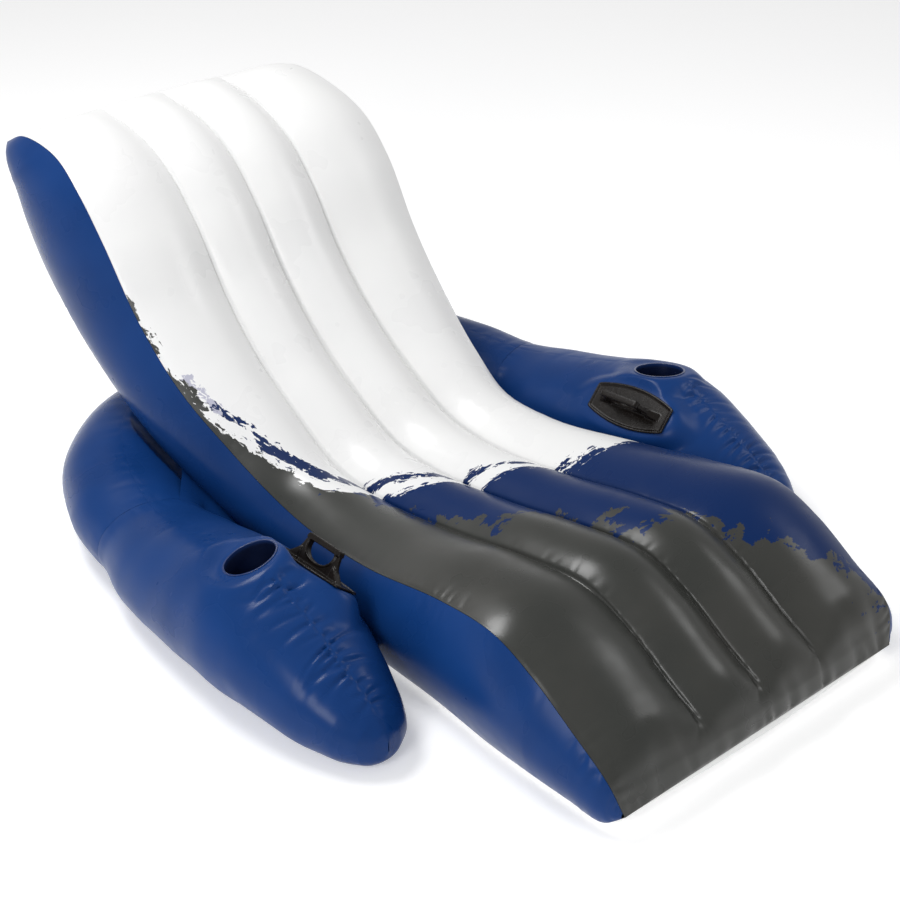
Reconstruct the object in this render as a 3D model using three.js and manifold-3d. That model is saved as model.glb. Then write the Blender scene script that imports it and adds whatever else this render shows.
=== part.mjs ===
// Inflatable pool float: a recliner lounge that lies on a U-shaped base with two arms.
// Millimetres, +Z up. The foot end points to -Y, the backrest to +Y, and +X is the right arm as seen from
// the foot end. The origin is on the ground, in the middle of the float.
// The lounge and the base are two air chambers. Every vinyl panel is a closed sheet of its own gauge, laid
// out as it stands when it is inflated, and neighbouring panels keep a small slit along their weld.

import * as THREE from "three";
import { mergeVertices } from "three/addons/utils/BufferGeometryUtils.js";
import Module from "manifold-3d";

const wasm = await Module();
wasm.setup();

const { clamp, lerp, smoothstep, degToRad } = THREE.MathUtils;

// ---------------------------------------------------------------- driving dimensions

const VINYL = 0.5; // gauge of every panel
const SLIT = 0.4; // slit between two pieces that are welded or rest on each other

// Ribs of the lounge from the foot seam to the head seam. Each gives where the side panel is welded to the
// top sheet and to the under sheet (y, z), and the half-width of the lounge there.
const RIBS = [
  { top: [-899, 36.3], under: [-899, 35.3], half: 356 },
  { top: [-872, 104], under: [-868, 16], half: 374 },
  { top: [-790, 158], under: [-790, 13], half: 374 },
  { top: [-695, 216], under: [-690, 13], half: 374 },
  { top: [-600, 250], under: [-590, 13], half: 371 },
  { top: [-450, 236], under: [-440, 13], half: 358 },
  { top: [-250, 198], under: [-240, 13], half: 349 },
  { top: [-60, 174], under: [-40, 16], half: 326 },
  { top: [80, 184], under: [130, 38], half: 314 },
  { top: [200, 244], under: [300, 104], half: 328 },
  { top: [330, 335], under: [455, 188], half: 350 },
  { top: [440, 450], under: [600, 290], half: 362 },
  { top: [530, 583], under: [720, 400], half: 368 },
  { top: [610, 665], under: [815, 508], half: 365 },
  { top: [715, 714], under: [882, 592], half: 350 },
  { top: [840, 723], under: [911, 650], half: 348 },
  { top: [914, 690.5], under: [914, 689.5], half: 347 },
];

const CHANNELS = 4; // long air channels across the lounge, with a beam between each two
const SEAM_GAP = 152; // between two neighbouring seams of the channels, which run straight
const COLUMNS = 4 * CHANNELS; // columns of facets across the lounge
const TOP_RISE = 28; // how far a channel of the top sheet stands above its welds
const UNDER_RISE = 30; // the same under the lounge, where the ground flattens it
const BACK_RISE = 20; // the same on the back of the backrest
const END_CROWN = 16; // how far the sheets stand out past the beams' ends
const ROWS = 28; // rows of facets along the lounge, the same on every panel, so that their welds meet
const SIDE_ROWS = 4; // rows of facets up a side panel
const BEAM_ROWS = [2, 26]; // the beams run between these rows
const BEAM_FADE = 0.03; // over this share of the way from foot to head the channels run out
const END_ROLL = 0.035; // over this share a sheet turns into the seam at the foot or the head
const SIDE_BULGE = 40; // how far a side panel stands out where the lounge is SIDE_DEPTH deep or more
const SIDE_DEPTH = 190;

// Sections of the base tube, from the nose of the right arm to the middle of the rear: the place of the
// section in plan, the heights of its top and its underside before the ground flattens it, and how far it
// reaches to the outside and to the inside, where it leans on the lounge. The arm ends at the section marked
// as the corner weld, and the rear tube begins there.
const SECTIONS = [
  { at: [536, -518], top: 62, base: 40, outside: 1, inside: 1 },
  { at: [536, -512], top: 80, base: 20, outside: 28, inside: 32 },
  { at: [536, -495], top: 100, base: 4, outside: 52, inside: 60 },
  { at: [536, -455], top: 128, base: -8, outside: 80, inside: 86 },
  { at: [537, -395], top: 165, base: -12, outside: 105, inside: 112 },
  { at: [538, -315], top: 208, base: -12, outside: 124, inside: 136 },
  { at: [538, -235], top: 242, base: -12, outside: 134, inside: 143 },
  { at: [537, -145], top: 260, base: -12, outside: 138, inside: 152 },
  { at: [530, 0], top: 224, base: -12, outside: 132, inside: 158 },
  { at: [518, 130], top: 193, base: -8, outside: 124, inside: 152 },
  { at: [496, 245], top: 176, base: 4, outside: 112, inside: 124, cornerWeld: true },
  { at: [462, 360], top: 188, base: -4, outside: 126, inside: 124 },
  { at: [405, 475], top: 203, base: -8, outside: 128, inside: 124 },
  { at: [310, 568], top: 208, base: -8, outside: 122, inside: 122 },
  { at: [160, 617], top: 208, base: -8, outside: 120, inside: 120 },
  { at: [0, 630], top: 208, base: -8, outside: 120, inside: 120 },
];

const NOSE_CROWDING = 0.7; // below 1, the facets along an arm are spread more evenly than its sections
const ARM_FACETS = [26, 12]; // facets along and round each panel of an arm
const REAR_FACETS = [22, 8]; // the same for the rear tube
const ROUND_FACETS = 24; // facets round a cup
const VALVE_FACETS = 16; // facets round a valve
const CORNER_SLIT = 0.0006; // share of the whole tube between an arm and the corner weld

// The two cups settle at different angles on the inflated arms. Each normal is [outwards, rearwards, up].
const CUP = { radius: 50, wall: 0.8, depth: 95, flange: 58, flangeThick: 1, alongArm: -145, sink: 6 };
const CUP_NORMALS = { right: [0.13, 0.15, 0.98], left: [0.25, 0.25, 0.94] };

// The grab handle is one moulding: a stiff plate on the upper inner side of the arm, and a loop. Its place is
// given along the arm, and by the lean of its normal towards the lounge, in degrees from the vertical.
const HANDLE = {
  sink: 4, // how far the stiff plate flattens the arm under it
  dip: 0.1, // how far its rear end hangs down, as a share of its length
  length: 200,
  width: 92,
  endWidth: 56,
  plate: 3.4,
  loopFoot: 146,
  loopTop: 98,
  loopHeight: 56,
  loopThick: 12,
  gripThick: 10,
  gapWidth: 76,
  gapFloor: 16,
};
const HANDLE_PLACES = { right: { alongArm: -165, lean: 45 }, left: { alongArm: -200, lean: 40 } };

// A valve is a stem on a flange inside the sheet, with a check flap at its inner end, a stopper in its
// outer end, and a tether that keeps the stopper.
const VALVE = {
  bore: 3.9,
  stem: 6.5,
  outside: 10,
  inside: 8,
  flange: 16,
  flangeFrom: -3.3,
  flangeTo: -2.3,
  hole: 7.2,
  plug: 3.5,
  plugDepth: 7.5,
  cap: 8,
  capThick: 2,
  flap: 5.2,
  flapThick: 0.6,
};
const LOUNGE_VALVE = { across: 0.25, along: 0.8 }; // on the back, in the middle of a channel
const BASE_VALVE = { angle: 12 }; // in the middle of the rear tube, this many degrees above level

const WEB = { rows: [10, 16], height: 0.25, gap: 6 }; // between those rows, at that share of the side panel
// at that row of the back, and at that angle of the rear tube
const REAR_WEB = { across: 0.75, row: 17, angle: 20, gap: 2, facets: 10 };

// ---------------------------------------------------------------- materials

function material(color, roughness) {
  return new THREE.MeshStandardMaterial({ color, roughness, metalness: 0 });
}
const BLUE_VINYL = material(0x1d3f86, 0.42);
const PRINTED_VINYL = material(0xf2f2f0, 0.4);
const WHITE_VINYL = material(0xf4f4f2, 0.4);
const CUP_VINYL = material(0x14213f, 0.45);
const HANDLE_PLASTIC = material(0x1d1916, 0.35);
const CLEAR_VINYL = material(0xdfe3e8, 0.35);
const INNER_VINYL = material(0xe6e6e2, 0.5);

// ---------------------------------------------------------------- closed sheets and solids

// A geometry with its shared vertices merged, ready for manifold-3d.
function closed(geometry) {
  geometry.deleteAttribute("normal");
  geometry.deleteAttribute("uv");
  return mergeVertices(geometry, 1e-4);
}

function toSolid(geometry) {
  const merged = closed(geometry.clone());
  return new wasm.Manifold(
    new wasm.Mesh({
      numProp: 3,
      vertProperties: merged.getAttribute("position").array,
      triVerts: new Uint32Array(merged.index.array),
    }),
  );
}

function toGeometry(solid) {
  const mesh = solid.getMesh();
  const geometry = new THREE.BufferGeometry();
  geometry.setAttribute("position", new THREE.BufferAttribute(mesh.vertProperties, 3));
  geometry.setIndex(new THREE.BufferAttribute(mesh.triVerts, 1));
  return geometry;
}

function cut(geometry, ...cutters) {
  return toGeometry(cutters.reduce((solid, cutter) => solid.subtract(toSolid(cutter)), toSolid(geometry)));
}

function join(geometry, ...others) {
  return toGeometry(others.reduce((solid, other) => solid.add(toSolid(other)), toSolid(geometry)));
}

// The outward normal of surface(u, v), for u and v from 0 to 1.
function normalAt(surface, u, v) {
  const step = 0.004;
  const alongU = surface(Math.min(u + step, 1), v).sub(surface(Math.max(u - step, 0), v));
  const alongV = surface(u, Math.min(v + step, 1)).sub(surface(u, Math.max(v - step, 0)));
  return alongU.cross(alongV).normalize();
}

// A sheet of vinyl over a surface: its outer skin lies on the surface, and its inner skin one gauge inside.
// Both skins split each facet along the same diagonal, so that they keep their distance where it is warped.
function sheet(surface, columns, rows) {
  const skins = [0, 1].map(() => []);
  for (let row = 0; row <= rows; row += 1) {
    for (let column = 0; column <= columns; column += 1) {
      const [u, v] = [column / columns, row / rows];
      const point = surface(u, v);
      skins[0].push(...point);
      skins[1].push(...point.addScaledVector(normalAt(surface, u, v), -VINYL));
    }
  }
  const index = [];
  const under = (columns + 1) * (rows + 1);
  const facet = (a, b, c, d) => index.push(a, b, c, a, c, d);
  for (let row = 0; row < rows; row += 1) {
    for (let column = 0; column < columns; column += 1) {
      const a = row * (columns + 1) + column;
      const [b, c, d] = [a + 1, a + columns + 2, a + columns + 1];
      facet(a, b, c, d);
      facet(c + under, b + under, a + under, d + under);
    }
  }
  const hem = (from, to) => facet(to, from, from + under, to + under);
  for (let column = 0; column < columns; column += 1) {
    const far = rows * (columns + 1) + column;
    hem(column, column + 1);
    hem(far + 1, far);
  }
  for (let row = 0; row < rows; row += 1) {
    const near = row * (columns + 1);
    hem(near + columns + 1, near);
    hem(near + columns, near + 2 * columns + 1);
  }
  const geometry = new THREE.BufferGeometry();
  geometry.setAttribute("position", new THREE.Float32BufferAttribute(skins.flat(), 3));
  geometry.setIndex(index);
  return mergeVertices(geometry, 1e-4);
}

// A turned body about the local z axis. The profile runs [radius, z], counterclockwise.
function turned(profile, segments) {
  const points = profile.map(([radius, z]) => new THREE.Vector2(radius, z));
  return closed(new THREE.LatheGeometry(points, segments).rotateX(Math.PI / 2));
}

// The same for a ring, whose profile doesn't touch the axis.
function turnedRing(profile, segments) {
  return turned([...profile, profile[0]], segments);
}

function named(name, geometry, look) {
  geometry.computeVertexNormals();
  const mesh = new THREE.Mesh(geometry, look.clone());
  mesh.name = name;
  return mesh;
}

// A place on a panel: z along the outward normal, x along the given direction.
function seat(centre, normal, along) {
  const z = normal.clone().normalize();
  const y = z.clone().cross(along).normalize();
  const x = y.clone().cross(z);
  return new THREE.Matrix4().makeBasis(x, y, z).setPosition(centre);
}

function groupAt(matrix, ...children) {
  const group = new THREE.Group();
  group.applyMatrix4(matrix);
  if (children.length) group.add(...children);
  return group;
}

// ---------------------------------------------------------------- the lounge

const topWeld = new THREE.CatmullRomCurve3(RIBS.map((rib) => new THREE.Vector3(rib.half, ...rib.top)));
const underWeld = new THREE.CatmullRomCurve3(RIBS.map((rib) => new THREE.Vector3(rib.half, ...rib.under)));

// 0 at each beam and at the side welds, 1 in the middle of a channel. Across runs from -1 to 1.
function channelShape(across) {
  const place = (((across + 1) / 2) * CHANNELS) % 1;
  return 1 - (2 * place - 1) ** 2;
}

// The x of a place across the lounge. Every channel takes the same share of across, and the outer two are as
// wide as the lounge leaves them.
function acrossX(across, half) {
  const seam = 1 - 2 / CHANNELS;
  const seamX = (SEAM_GAP * (CHANNELS - 2)) / 2;
  const past = clamp((Math.abs(across) - seam) / (1 - seam), 0, 1);
  return Math.sign(across) * (seamX * Math.min(Math.abs(across) / seam, 1) + (half - seamX) * past);
}

// How far a sheet stands out of its weld line: in channels where there are beams, in one crown past them.
function lift(along, across, rise) {
  const [first, last] = BEAM_ROWS.map((row) => row / ROWS);
  const beams =
    smoothstep(along, first - BEAM_FADE, first + BEAM_FADE) -
    smoothstep(along, last - BEAM_FADE, last + BEAM_FADE);
  const roll = Math.sqrt(clamp(Math.min(along, 1 - along) / END_ROLL, 0, 1));
  return roll * (beams * rise * channelShape(across) + (1 - beams) * END_CROWN * (1 - across ** 2));
}

// A unit vector square to a weld line, in the plane x = 0. Turn is 1 for the side that is up on level
// ground, and -1 for the side that is down.
function squareTo(weld, along, turn) {
  const tangent = weld.getTangent(clamp(along, 0.001, 0.999));
  return new THREE.Vector3(0, -tangent.z, tangent.y).normalize().multiplyScalar(turn);
}

function topSheetPoint(across, along) {
  const weld = topWeld.getPoint(along);
  const point = new THREE.Vector3(acrossX(across, weld.x), weld.y, weld.z);
  return point.addScaledVector(squareTo(topWeld, along, 1), lift(along, across, TOP_RISE));
}

function underSheetPoint(across, along) {
  const weld = underWeld.getPoint(along);
  const point = new THREE.Vector3(acrossX(across, weld.x), weld.y, weld.z);
  const rise = lerp(UNDER_RISE, BACK_RISE, smoothstep(along, 0.5, 0.6));
  point.addScaledVector(squareTo(underWeld, along, -1), lift(along, across, rise));
  point.z = Math.max(point.z, 0);
  return point;
}

// A point between the under weld (share 0) and the top weld (share 1), at the side of the lounge.
function sidePoint(along, share) {
  const under = underWeld.getPoint(along);
  const top = topWeld.getPoint(along);
  const depth = Math.hypot(top.y - under.y, top.z - under.z);
  const inset = (VINYL + 2 * SLIT) / depth;
  const k = lerp(inset, 1 - inset, share);
  const point = under.lerp(top, k);
  point.x += SIDE_BULGE * Math.min(1, depth / SIDE_DEPTH) * (1 - (2 * k - 1) ** 2);
  return point;
}

function beamPoint(across, along, share) {
  const under = underWeld.getPoint(along);
  const top = topWeld.getPoint(along);
  const inset = (VINYL + 2 * SLIT) / Math.hypot(top.y - under.y, top.z - under.z);
  const point = under.lerp(top, lerp(inset, 1 - inset, share));
  point.x = acrossX(across, point.x);
  return point;
}

function loungeValveSeat() {
  const { across, along } = LOUNGE_VALVE;
  const surface = (u, v) => underSheetPoint(1 - 2 * u, v);
  const u = (1 - across) / 2;
  return seat(surface(u, along), normalAt(surface, u, along), new THREE.Vector3(1, 0, 0));
}

function lounge() {
  const group = new THREE.Group();
  const ends = [0.008, 0.992]; // the side panels stop just short of the foot and head seams
  const topSheet = sheet((u, v) => topSheetPoint(2 * u - 1, v), COLUMNS, ROWS);
  const valve = loungeValveSeat();
  const flat = [{ seat: valve, inner: 60, outer: 90 }];
  const under = sheet((u, v) => pressedFlat(underSheetPoint(1 - 2 * u, v), flat), COLUMNS, ROWS);
  group.add(named("lounge_top_sheet", topSheet, PRINTED_VINYL));
  group.add(named("lounge_bottom_sheet", cut(under, valveHole(valve)), WHITE_VINYL));
  const side = sheet((u, v) => sidePoint(clamp(u, ...ends), v), ROWS, SIDE_ROWS);
  for (const [name, mirror] of [["right", 1], ["left", -1]]) {
    const panel = named("lounge_side_panel_" + name, side.clone(), BLUE_VINYL);
    panel.scale.x = mirror;
    group.add(panel);
  }
  for (let i = 1; i < CHANNELS; i += 1) {
    const across = (2 * i) / CHANNELS - 1;
    const [first, last] = BEAM_ROWS;
    const beam = sheet((u, v) => beamPoint(across, lerp(first, last, u) / ROWS, v), last - first, 1);
    group.add(named("lounge_beam_" + i, beam, INNER_VINYL));
  }
  group.add(valveSet("lounge_valve", valve));
  return group;
}

// ---------------------------------------------------------------- the base

const mirrored = SECTIONS.slice(0, -1).reverse();
const ALL_SECTIONS = [
  ...SECTIONS,
  ...mirrored.map((section) => ({ ...section, at: [-section.at[0], section.at[1]] })),
];
const tubePath = new THREE.CatmullRomCurve3(
  ALL_SECTIONS.map((section) => new THREE.Vector3(...section.at, 0)),
);
const tubeHeights = new THREE.CatmullRomCurve3(
  ALL_SECTIONS.map((section) => new THREE.Vector3(section.top, section.base, 0)),
);
const tubeReaches = new THREE.CatmullRomCurve3(
  ALL_SECTIONS.map((section) => new THREE.Vector3(section.outside, section.inside, 0)),
);
const CORNER = SECTIONS.findIndex((section) => section.cornerWeld) / (ALL_SECTIONS.length - 1);

// The place along the tube where the given coordinate of its path reaches a value, between two places.
function placeAlong(axis, value, from, to) {
  let low = from;
  let high = to;
  for (let i = 0; i < 30; i += 1) {
    const middle = (low + high) / 2;
    if (tubePath.getPoint(middle)[axis] < value) low = middle;
    else high = middle;
  }
  return low;
}

// A point on the tube: angle -90 is the seam on the ground, 0 the side and 90 the seam on top. Side is 1
// for the outer panel and -1 for the inner one.
function tubePoint(along, angle, side) {
  const centre = tubePath.getPoint(along);
  const tangent = tubePath.getTangent(clamp(along, 0.002, 0.998));
  const outward = new THREE.Vector3(tangent.y, -tangent.x, 0).normalize();
  const heights = tubeHeights.getPoint(along);
  const reaches = tubeReaches.getPoint(along);
  const reach = SLIT / 2 + (side > 0 ? reaches.x : reaches.y) * Math.cos(degToRad(angle));
  const point = centre.addScaledVector(outward, side * reach);
  point.z = lerp(heights.y, heights.x, (1 + Math.sin(degToRad(angle))) / 2);
  const kept = clearOfLounge(point);
  kept.z = Math.max(kept.z, 0);
  return kept;
}

// The tube gives way where the lounge leans on it. Round the back of the lounge its cross-section is taken
// as a box with round corners, which holds the side bulge and the channels.
const LEAN_ROUND = 85; // radius of those corners
const LEAN_ROOM = 10; // clearance between the tube and the box
const BACK_SAMPLES = Array.from({ length: 60 }, (_, i) => {
  const along = lerp(0.45, 0.9, i / 59);
  return { point: underWeld.getPoint(along), normal: squareTo(underWeld, along, -1) };
});

function clearOfLounge(point) {
  const distance = (s) => Math.hypot(point.y - s.point.y, point.z - s.point.z);
  const nearest = BACK_SAMPLES.reduce((best, s) => (distance(s) < distance(best) ? s : best));
  const { y, z } = nearest.normal;
  const below = (point.y - nearest.point.y) * y + (point.z - nearest.point.z) * z;
  const aside = Math.abs(point.x) - (nearest.point.x + SIDE_BULGE - LEAN_ROUND);
  const down = below - (BACK_RISE - LEAN_ROUND);
  const past = Math.hypot(Math.max(aside, 0), Math.max(down, 0));
  const distanceOut = past + Math.min(Math.max(aside, down), 0) - LEAN_ROUND;
  if (distanceOut >= LEAN_ROOM) return point;
  const push = nearest.normal.clone().multiplyScalar(Math.max(down, 0));
  push.x = Math.sign(point.x) * Math.max(aside, 0);
  return point.addScaledVector(push.normalize(), LEAN_ROOM - distanceOut);
}

// Stiff pieces press the panel under them flat: fully up to their inner radius, and less out to the outer
// one. Stretch widens the flat along the seat's x axis.
const PRESS_DEPTH = [30, 60]; // only the near side of the tube is pressed

function pressedFlat(point, flats) {
  for (const { seat: place, inner, outer, stretch = 1, raises = true } of flats) {
    const local = point.clone().applyMatrix4(place.clone().invert());
    const radius = Math.hypot(local.x / stretch, local.y);
    const share = 1 - smoothstep(radius, inner, outer);
    if (local.z > 0 || raises) local.z *= 1 - share * (1 - smoothstep(Math.abs(local.z), ...PRESS_DEPTH));
    point.copy(local.applyMatrix4(place));
  }
  return point;
}

function cupSeat(normal) {
  const along = placeAlong("y", CUP.alongArm, 0, CORNER);
  const centre = tubePath.getPoint(along);
  centre.z = tubeHeights.getPoint(along).x - CUP.sink;
  return seat(centre, new THREE.Vector3(...normal), new THREE.Vector3(0, 1, 0));
}

function handleSeat({ alongArm, lean }) {
  const along = placeAlong("y", alongArm, 0, CORNER);
  const normal = new THREE.Vector3(-Math.sin(degToRad(lean)), 0, Math.cos(degToRad(lean)));
  const heights = tubeHeights.getPoint(along);
  const halfHeight = (heights.x - heights.y) / 2;
  const reach = tubeReaches.getPoint(along).y;
  const angle = Math.atan2(normal.z * halfHeight, -normal.x * reach);
  const centre = tubePath.getPoint(along);
  centre.x -= reach * Math.cos(angle);
  centre.z = heights.y + halfHeight * (1 + Math.sin(angle));
  const rearwards = new THREE.Vector3(0, 1, -HANDLE.dip);
  return seat(centre.addScaledVector(normal, -HANDLE.sink), normal, rearwards);
}

function cupPieces(name, place) {
  const { radius, wall, depth, flange, flangeThick } = CUP;
  const well = turnedRing([
    [radius, -depth],
    [radius + wall, -depth],
    [radius + wall, SLIT],
    [flange, SLIT],
    [flange, SLIT + flangeThick],
    [radius, SLIT + flangeThick],
  ], ROUND_FACETS);
  const floor = turned([
    [0, -depth - SLIT - wall],
    [radius + wall, -depth - SLIT - wall],
    [radius + wall, -depth - SLIT],
    [0, -depth - SLIT],
  ], ROUND_FACETS);
  return groupAt(
    place,
    named(name + "_cup_wall", well, CUP_VINYL),
    named(name + "_cup_floor", floor, CUP_VINYL),
  );
}

function cupHole(place) {
  const radius = CUP.radius + CUP.wall + SLIT;
  const reach = 80; // through the panel, and short of the far side of the arm
  const cutter = new THREE.CylinderGeometry(radius, radius, reach, ROUND_FACETS);
  return cutter.rotateX(Math.PI / 2).applyMatrix4(place);
}

// The plate is a barrel with straight short ends.
function handlePlate() {
  const x = HANDLE.length / 2;
  const y = HANDLE.endWidth / 2;
  const bow = HANDLE.width - HANDLE.endWidth / 2;
  const outline = new THREE.Shape();
  outline.moveTo(-x, -y);
  outline.quadraticCurveTo(0, -bow, x, -y);
  outline.lineTo(x, y);
  outline.quadraticCurveTo(0, bow, -x, y);
  outline.closePath();
  const options = { depth: HANDLE.plate, bevelEnabled: false, curveSegments: 8 };
  return new THREE.ExtrudeGeometry(outline, options).translate(0, 0, SLIT);
}

// The loop stands on the plate along its middle. Its gap is straight under the grip and round below.
function handleLoop() {
  const { loopFoot, loopTop, loopHeight, loopThick, gripThick, gapWidth, gapFloor } = HANDLE;
  const corner = 14;
  const outline = new THREE.Shape();
  outline.moveTo(-loopFoot / 2, 0);
  outline.lineTo(loopFoot / 2, 0);
  outline.quadraticCurveTo(loopTop / 2 + 8, loopHeight * 0.35, loopTop / 2, loopHeight - corner);
  outline.quadraticCurveTo(loopTop / 2, loopHeight, loopTop / 2 - corner, loopHeight);
  outline.lineTo(corner - loopTop / 2, loopHeight);
  outline.quadraticCurveTo(-loopTop / 2, loopHeight, -loopTop / 2, loopHeight - corner);
  outline.quadraticCurveTo(-loopTop / 2 - 8, loopHeight * 0.35, -loopFoot / 2, 0);
  const gapTop = loopHeight - gripThick;
  const gap = new THREE.Path();
  gap.moveTo(-gapWidth / 2, gapTop);
  gap.bezierCurveTo(-gapWidth / 2, gapFloor, -gapWidth / 4, gapFloor, 0, gapFloor);
  gap.bezierCurveTo(gapWidth / 4, gapFloor, gapWidth / 2, gapFloor, gapWidth / 2, gapTop);
  gap.closePath();
  outline.holes.push(gap);
  const options = { depth: loopThick, bevelEnabled: false, curveSegments: 6 };
  const loop = new THREE.ExtrudeGeometry(outline, options).translate(0, 0, -loopThick / 2);
  return loop.rotateX(Math.PI / 2).translate(0, 0, SLIT + HANDLE.plate / 2);
}

function armPieces(name, mirror) {
  const cup = cupSeat(CUP_NORMALS[name]);
  const handle = handleSeat(HANDLE_PLACES[name]);
  const underPlate = { seat: handle, inner: 84, outer: 106, stretch: 2.2 };
  const flats = [underPlate, { seat: cup, inner: 80, outer: 110 }, { ...underPlate, raises: false }];
  const weldEnd = CORNER - CORNER_SLIT;
  const panel = (side) => (u, v) => {
    const fromNose = side > 0 ? u : 1 - u;
    return pressedFlat(tubePoint(weldEnd * fromNose ** NOSE_CROWDING, lerp(-90, 90, v), side), flats);
  };
  const outer = sheet(panel(1), ...ARM_FACETS);
  const inner = sheet(panel(-1), ...ARM_FACETS);
  const group = new THREE.Group();
  group.add(named(name + "_arm_outer_panel", cut(outer, cupHole(cup)), BLUE_VINYL));
  group.add(named(name + "_arm_inner_panel", cut(inner, cupHole(cup)), BLUE_VINYL));
  group.add(cupPieces(name, cup));
  const moulding = join(handlePlate(), handleLoop());
  group.add(groupAt(handle, named(name + "_handle", moulding, HANDLE_PLASTIC)));
  group.add(named(name + "_joining_web", sideWeb(), BLUE_VINYL));
  group.scale.x = mirror;
  return group;
}

// A narrow web joins the side panel of the lounge to the inner panel of the arm, under where they touch.
function sideWeb() {
  return sheet((u, v) => {
    const lounge = sidePoint(lerp(...WEB.rows, u) / ROWS, WEB.height);
    const along = placeAlong("y", lounge.y, 0, CORNER);
    const heights = tubeHeights.getPoint(along);
    const angle = Math.asin((2 * (lounge.z - heights.y)) / (heights.x - heights.y) - 1) / degToRad(1);
    const arm = tubePoint(along, angle, -1);
    const inset = WEB.gap / (arm.x - lounge.x);
    return lounge.lerp(arm, lerp(inset, 1 - inset, 1 - v));
  }, WEB.rows[1] - WEB.rows[0], 1);
}

// A wider web joins the back of the lounge, where its channels stand out most, to the rear tube.
function rearWeb() {
  const { across, row, angle, gap } = REAR_WEB;
  const weld = underWeld.getPoint(row / ROWS);
  const crest = squareTo(underWeld, row / ROWS, -1).multiplyScalar(BACK_RISE);
  return sheet((u, v) => {
    const lounge = new THREE.Vector3(lerp(-across, across, u) * weld.x, weld.y, weld.z).add(crest);
    const tube = tubePoint(placeAlong("x", lounge.x, 1 - CORNER, CORNER), angle, -1);
    const inset = gap / lounge.distanceTo(tube);
    return lounge.lerp(tube, lerp(inset, 1 - inset, v));
  }, REAR_WEB.facets, 1);
}

function baseValveSeat() {
  const surface = (u, v) => tubePoint(u, lerp(-90, 90, v), 1);
  const v = (BASE_VALVE.angle + 90) / 180;
  return seat(surface(0.5, v), normalAt(surface, 0.5, v), new THREE.Vector3(1, 0, 0));
}

function rearTube() {
  const start = CORNER + CORNER_SLIT;
  const valve = baseValveSeat();
  const flat = [{ seat: valve, inner: 45, outer: 75 }];
  const outer = sheet((u, v) => {
    const point = tubePoint(lerp(start, 1 - start, u), lerp(-90, 90, v), 1);
    return pressedFlat(point, flat);
  }, ...REAR_FACETS);
  const inner = sheet((u, v) => {
    return tubePoint(lerp(1 - start, start, u), lerp(-90, 90, v), -1);
  }, ...REAR_FACETS);
  const group = new THREE.Group();
  group.add(named("rear_tube_outer_panel", cut(outer, valveHole(valve)), BLUE_VINYL));
  group.add(named("rear_tube_inner_panel", inner, BLUE_VINYL));
  group.add(named("rear_joining_web", rearWeb(), BLUE_VINYL));
  group.add(valveSet("base_valve", valve));
  return group;
}

// ---------------------------------------------------------------- valves

function valveHole(place) {
  const cutter = new THREE.CylinderGeometry(VALVE.hole, VALVE.hole, 12, VALVE_FACETS);
  return cutter.rotateX(Math.PI / 2).applyMatrix4(place);
}

function valveStem() {
  const { bore, stem, outside, inside, flange, flangeFrom, flangeTo } = VALVE;
  return turnedRing([
    [bore, -inside],
    [stem, -inside],
    [stem, flangeFrom],
    [flange, flangeFrom],
    [flange, flangeTo],
    [stem, flangeTo],
    [stem, outside],
    [bore, outside],
  ], VALVE_FACETS);
}

function valveStopper() {
  const { plug, plugDepth, cap, capThick, outside } = VALVE;
  const low = outside + SLIT;
  return turned([
    [0, outside - plugDepth],
    [plug - 0.8, outside - plugDepth],
    [plug, outside - plugDepth + 1.5],
    [plug, low],
    [cap, low],
    [cap, low + capThick],
    [0, low + capThick],
  ], VALVE_FACETS);
}

function valveFlap() {
  const { flap, flapThick, inside } = VALVE;
  const top = -inside - SLIT;
  return turned([
    [0, top - flapThick],
    [flap, top - flapThick],
    [flap, top],
    [0, top],
  ], VALVE_FACETS);
}

// A ring round the stem and a strap that bends up to the edge of the stopper.
function valveTether() {
  const { stem, cap, outside, capThick } = VALVE;
  const ringInner = stem + SLIT;
  const ringOuter = ringInner + 2.2;
  const ring = turnedRing([
    [ringInner, 1.2],
    [ringOuter, 1.2],
    [ringOuter, 2.8],
    [ringInner, 2.8],
  ], VALVE_FACETS);
  const capMiddle = outside + SLIT + capThick / 2;
  const route = new THREE.CatmullRomCurve3([
    new THREE.Vector3(ringOuter - 0.8, 0, 2),
    new THREE.Vector3(ringOuter + 4, 0, 2.4),
    new THREE.Vector3(ringOuter + 7, 0, 6),
    new THREE.Vector3(ringOuter + 4.5, 0, capMiddle - 0.6),
    new THREE.Vector3(cap + SLIT, 0, capMiddle),
  ]);
  const section = new THREE.Shape();
  section.moveTo(-0.5, -2);
  section.lineTo(0.5, -2);
  section.lineTo(0.5, 2);
  section.lineTo(-0.5, 2);
  section.closePath();
  const strap = new THREE.ExtrudeGeometry(section, { steps: 10, extrudePath: route });
  return join(ring, strap);
}

function valveSet(name, place) {
  return groupAt(
    place,
    named(name + "_stem", valveStem(), CLEAR_VINYL),
    named(name + "_flap", valveFlap(), CLEAR_VINYL),
    named(name + "_stopper", valveStopper(), CLEAR_VINYL),
    named(name + "_tether", valveTether(), CLEAR_VINYL),
  );
}

// ---------------------------------------------------------------- the float

const FOOT_TO_HEAD_MIDDLE = 14; // y of the middle of the whole length, in the frame of the ribs and sections

const group = new THREE.Group();
group.position.y = -FOOT_TO_HEAD_MIDDLE;
group.add(lounge());
group.add(rearTube());
group.add(armPieces("right", 1));
group.add(armPieces("left", -1));

export default group;
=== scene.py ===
"""Looks of the inflatable pool float: a channelled recliner lounge on a U-shaped base with two arms.

Metres, +Z up, in the frame of the CAD model. The foot end points to -Y and the right arm to +X.
Every vinyl panel is a thin closed shell. Its shape is worked out from the same ribs and tube sections as the
CAD panels, at a finer step, with the weld grooves, puckers and slack that inflated film has.
"""

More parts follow.
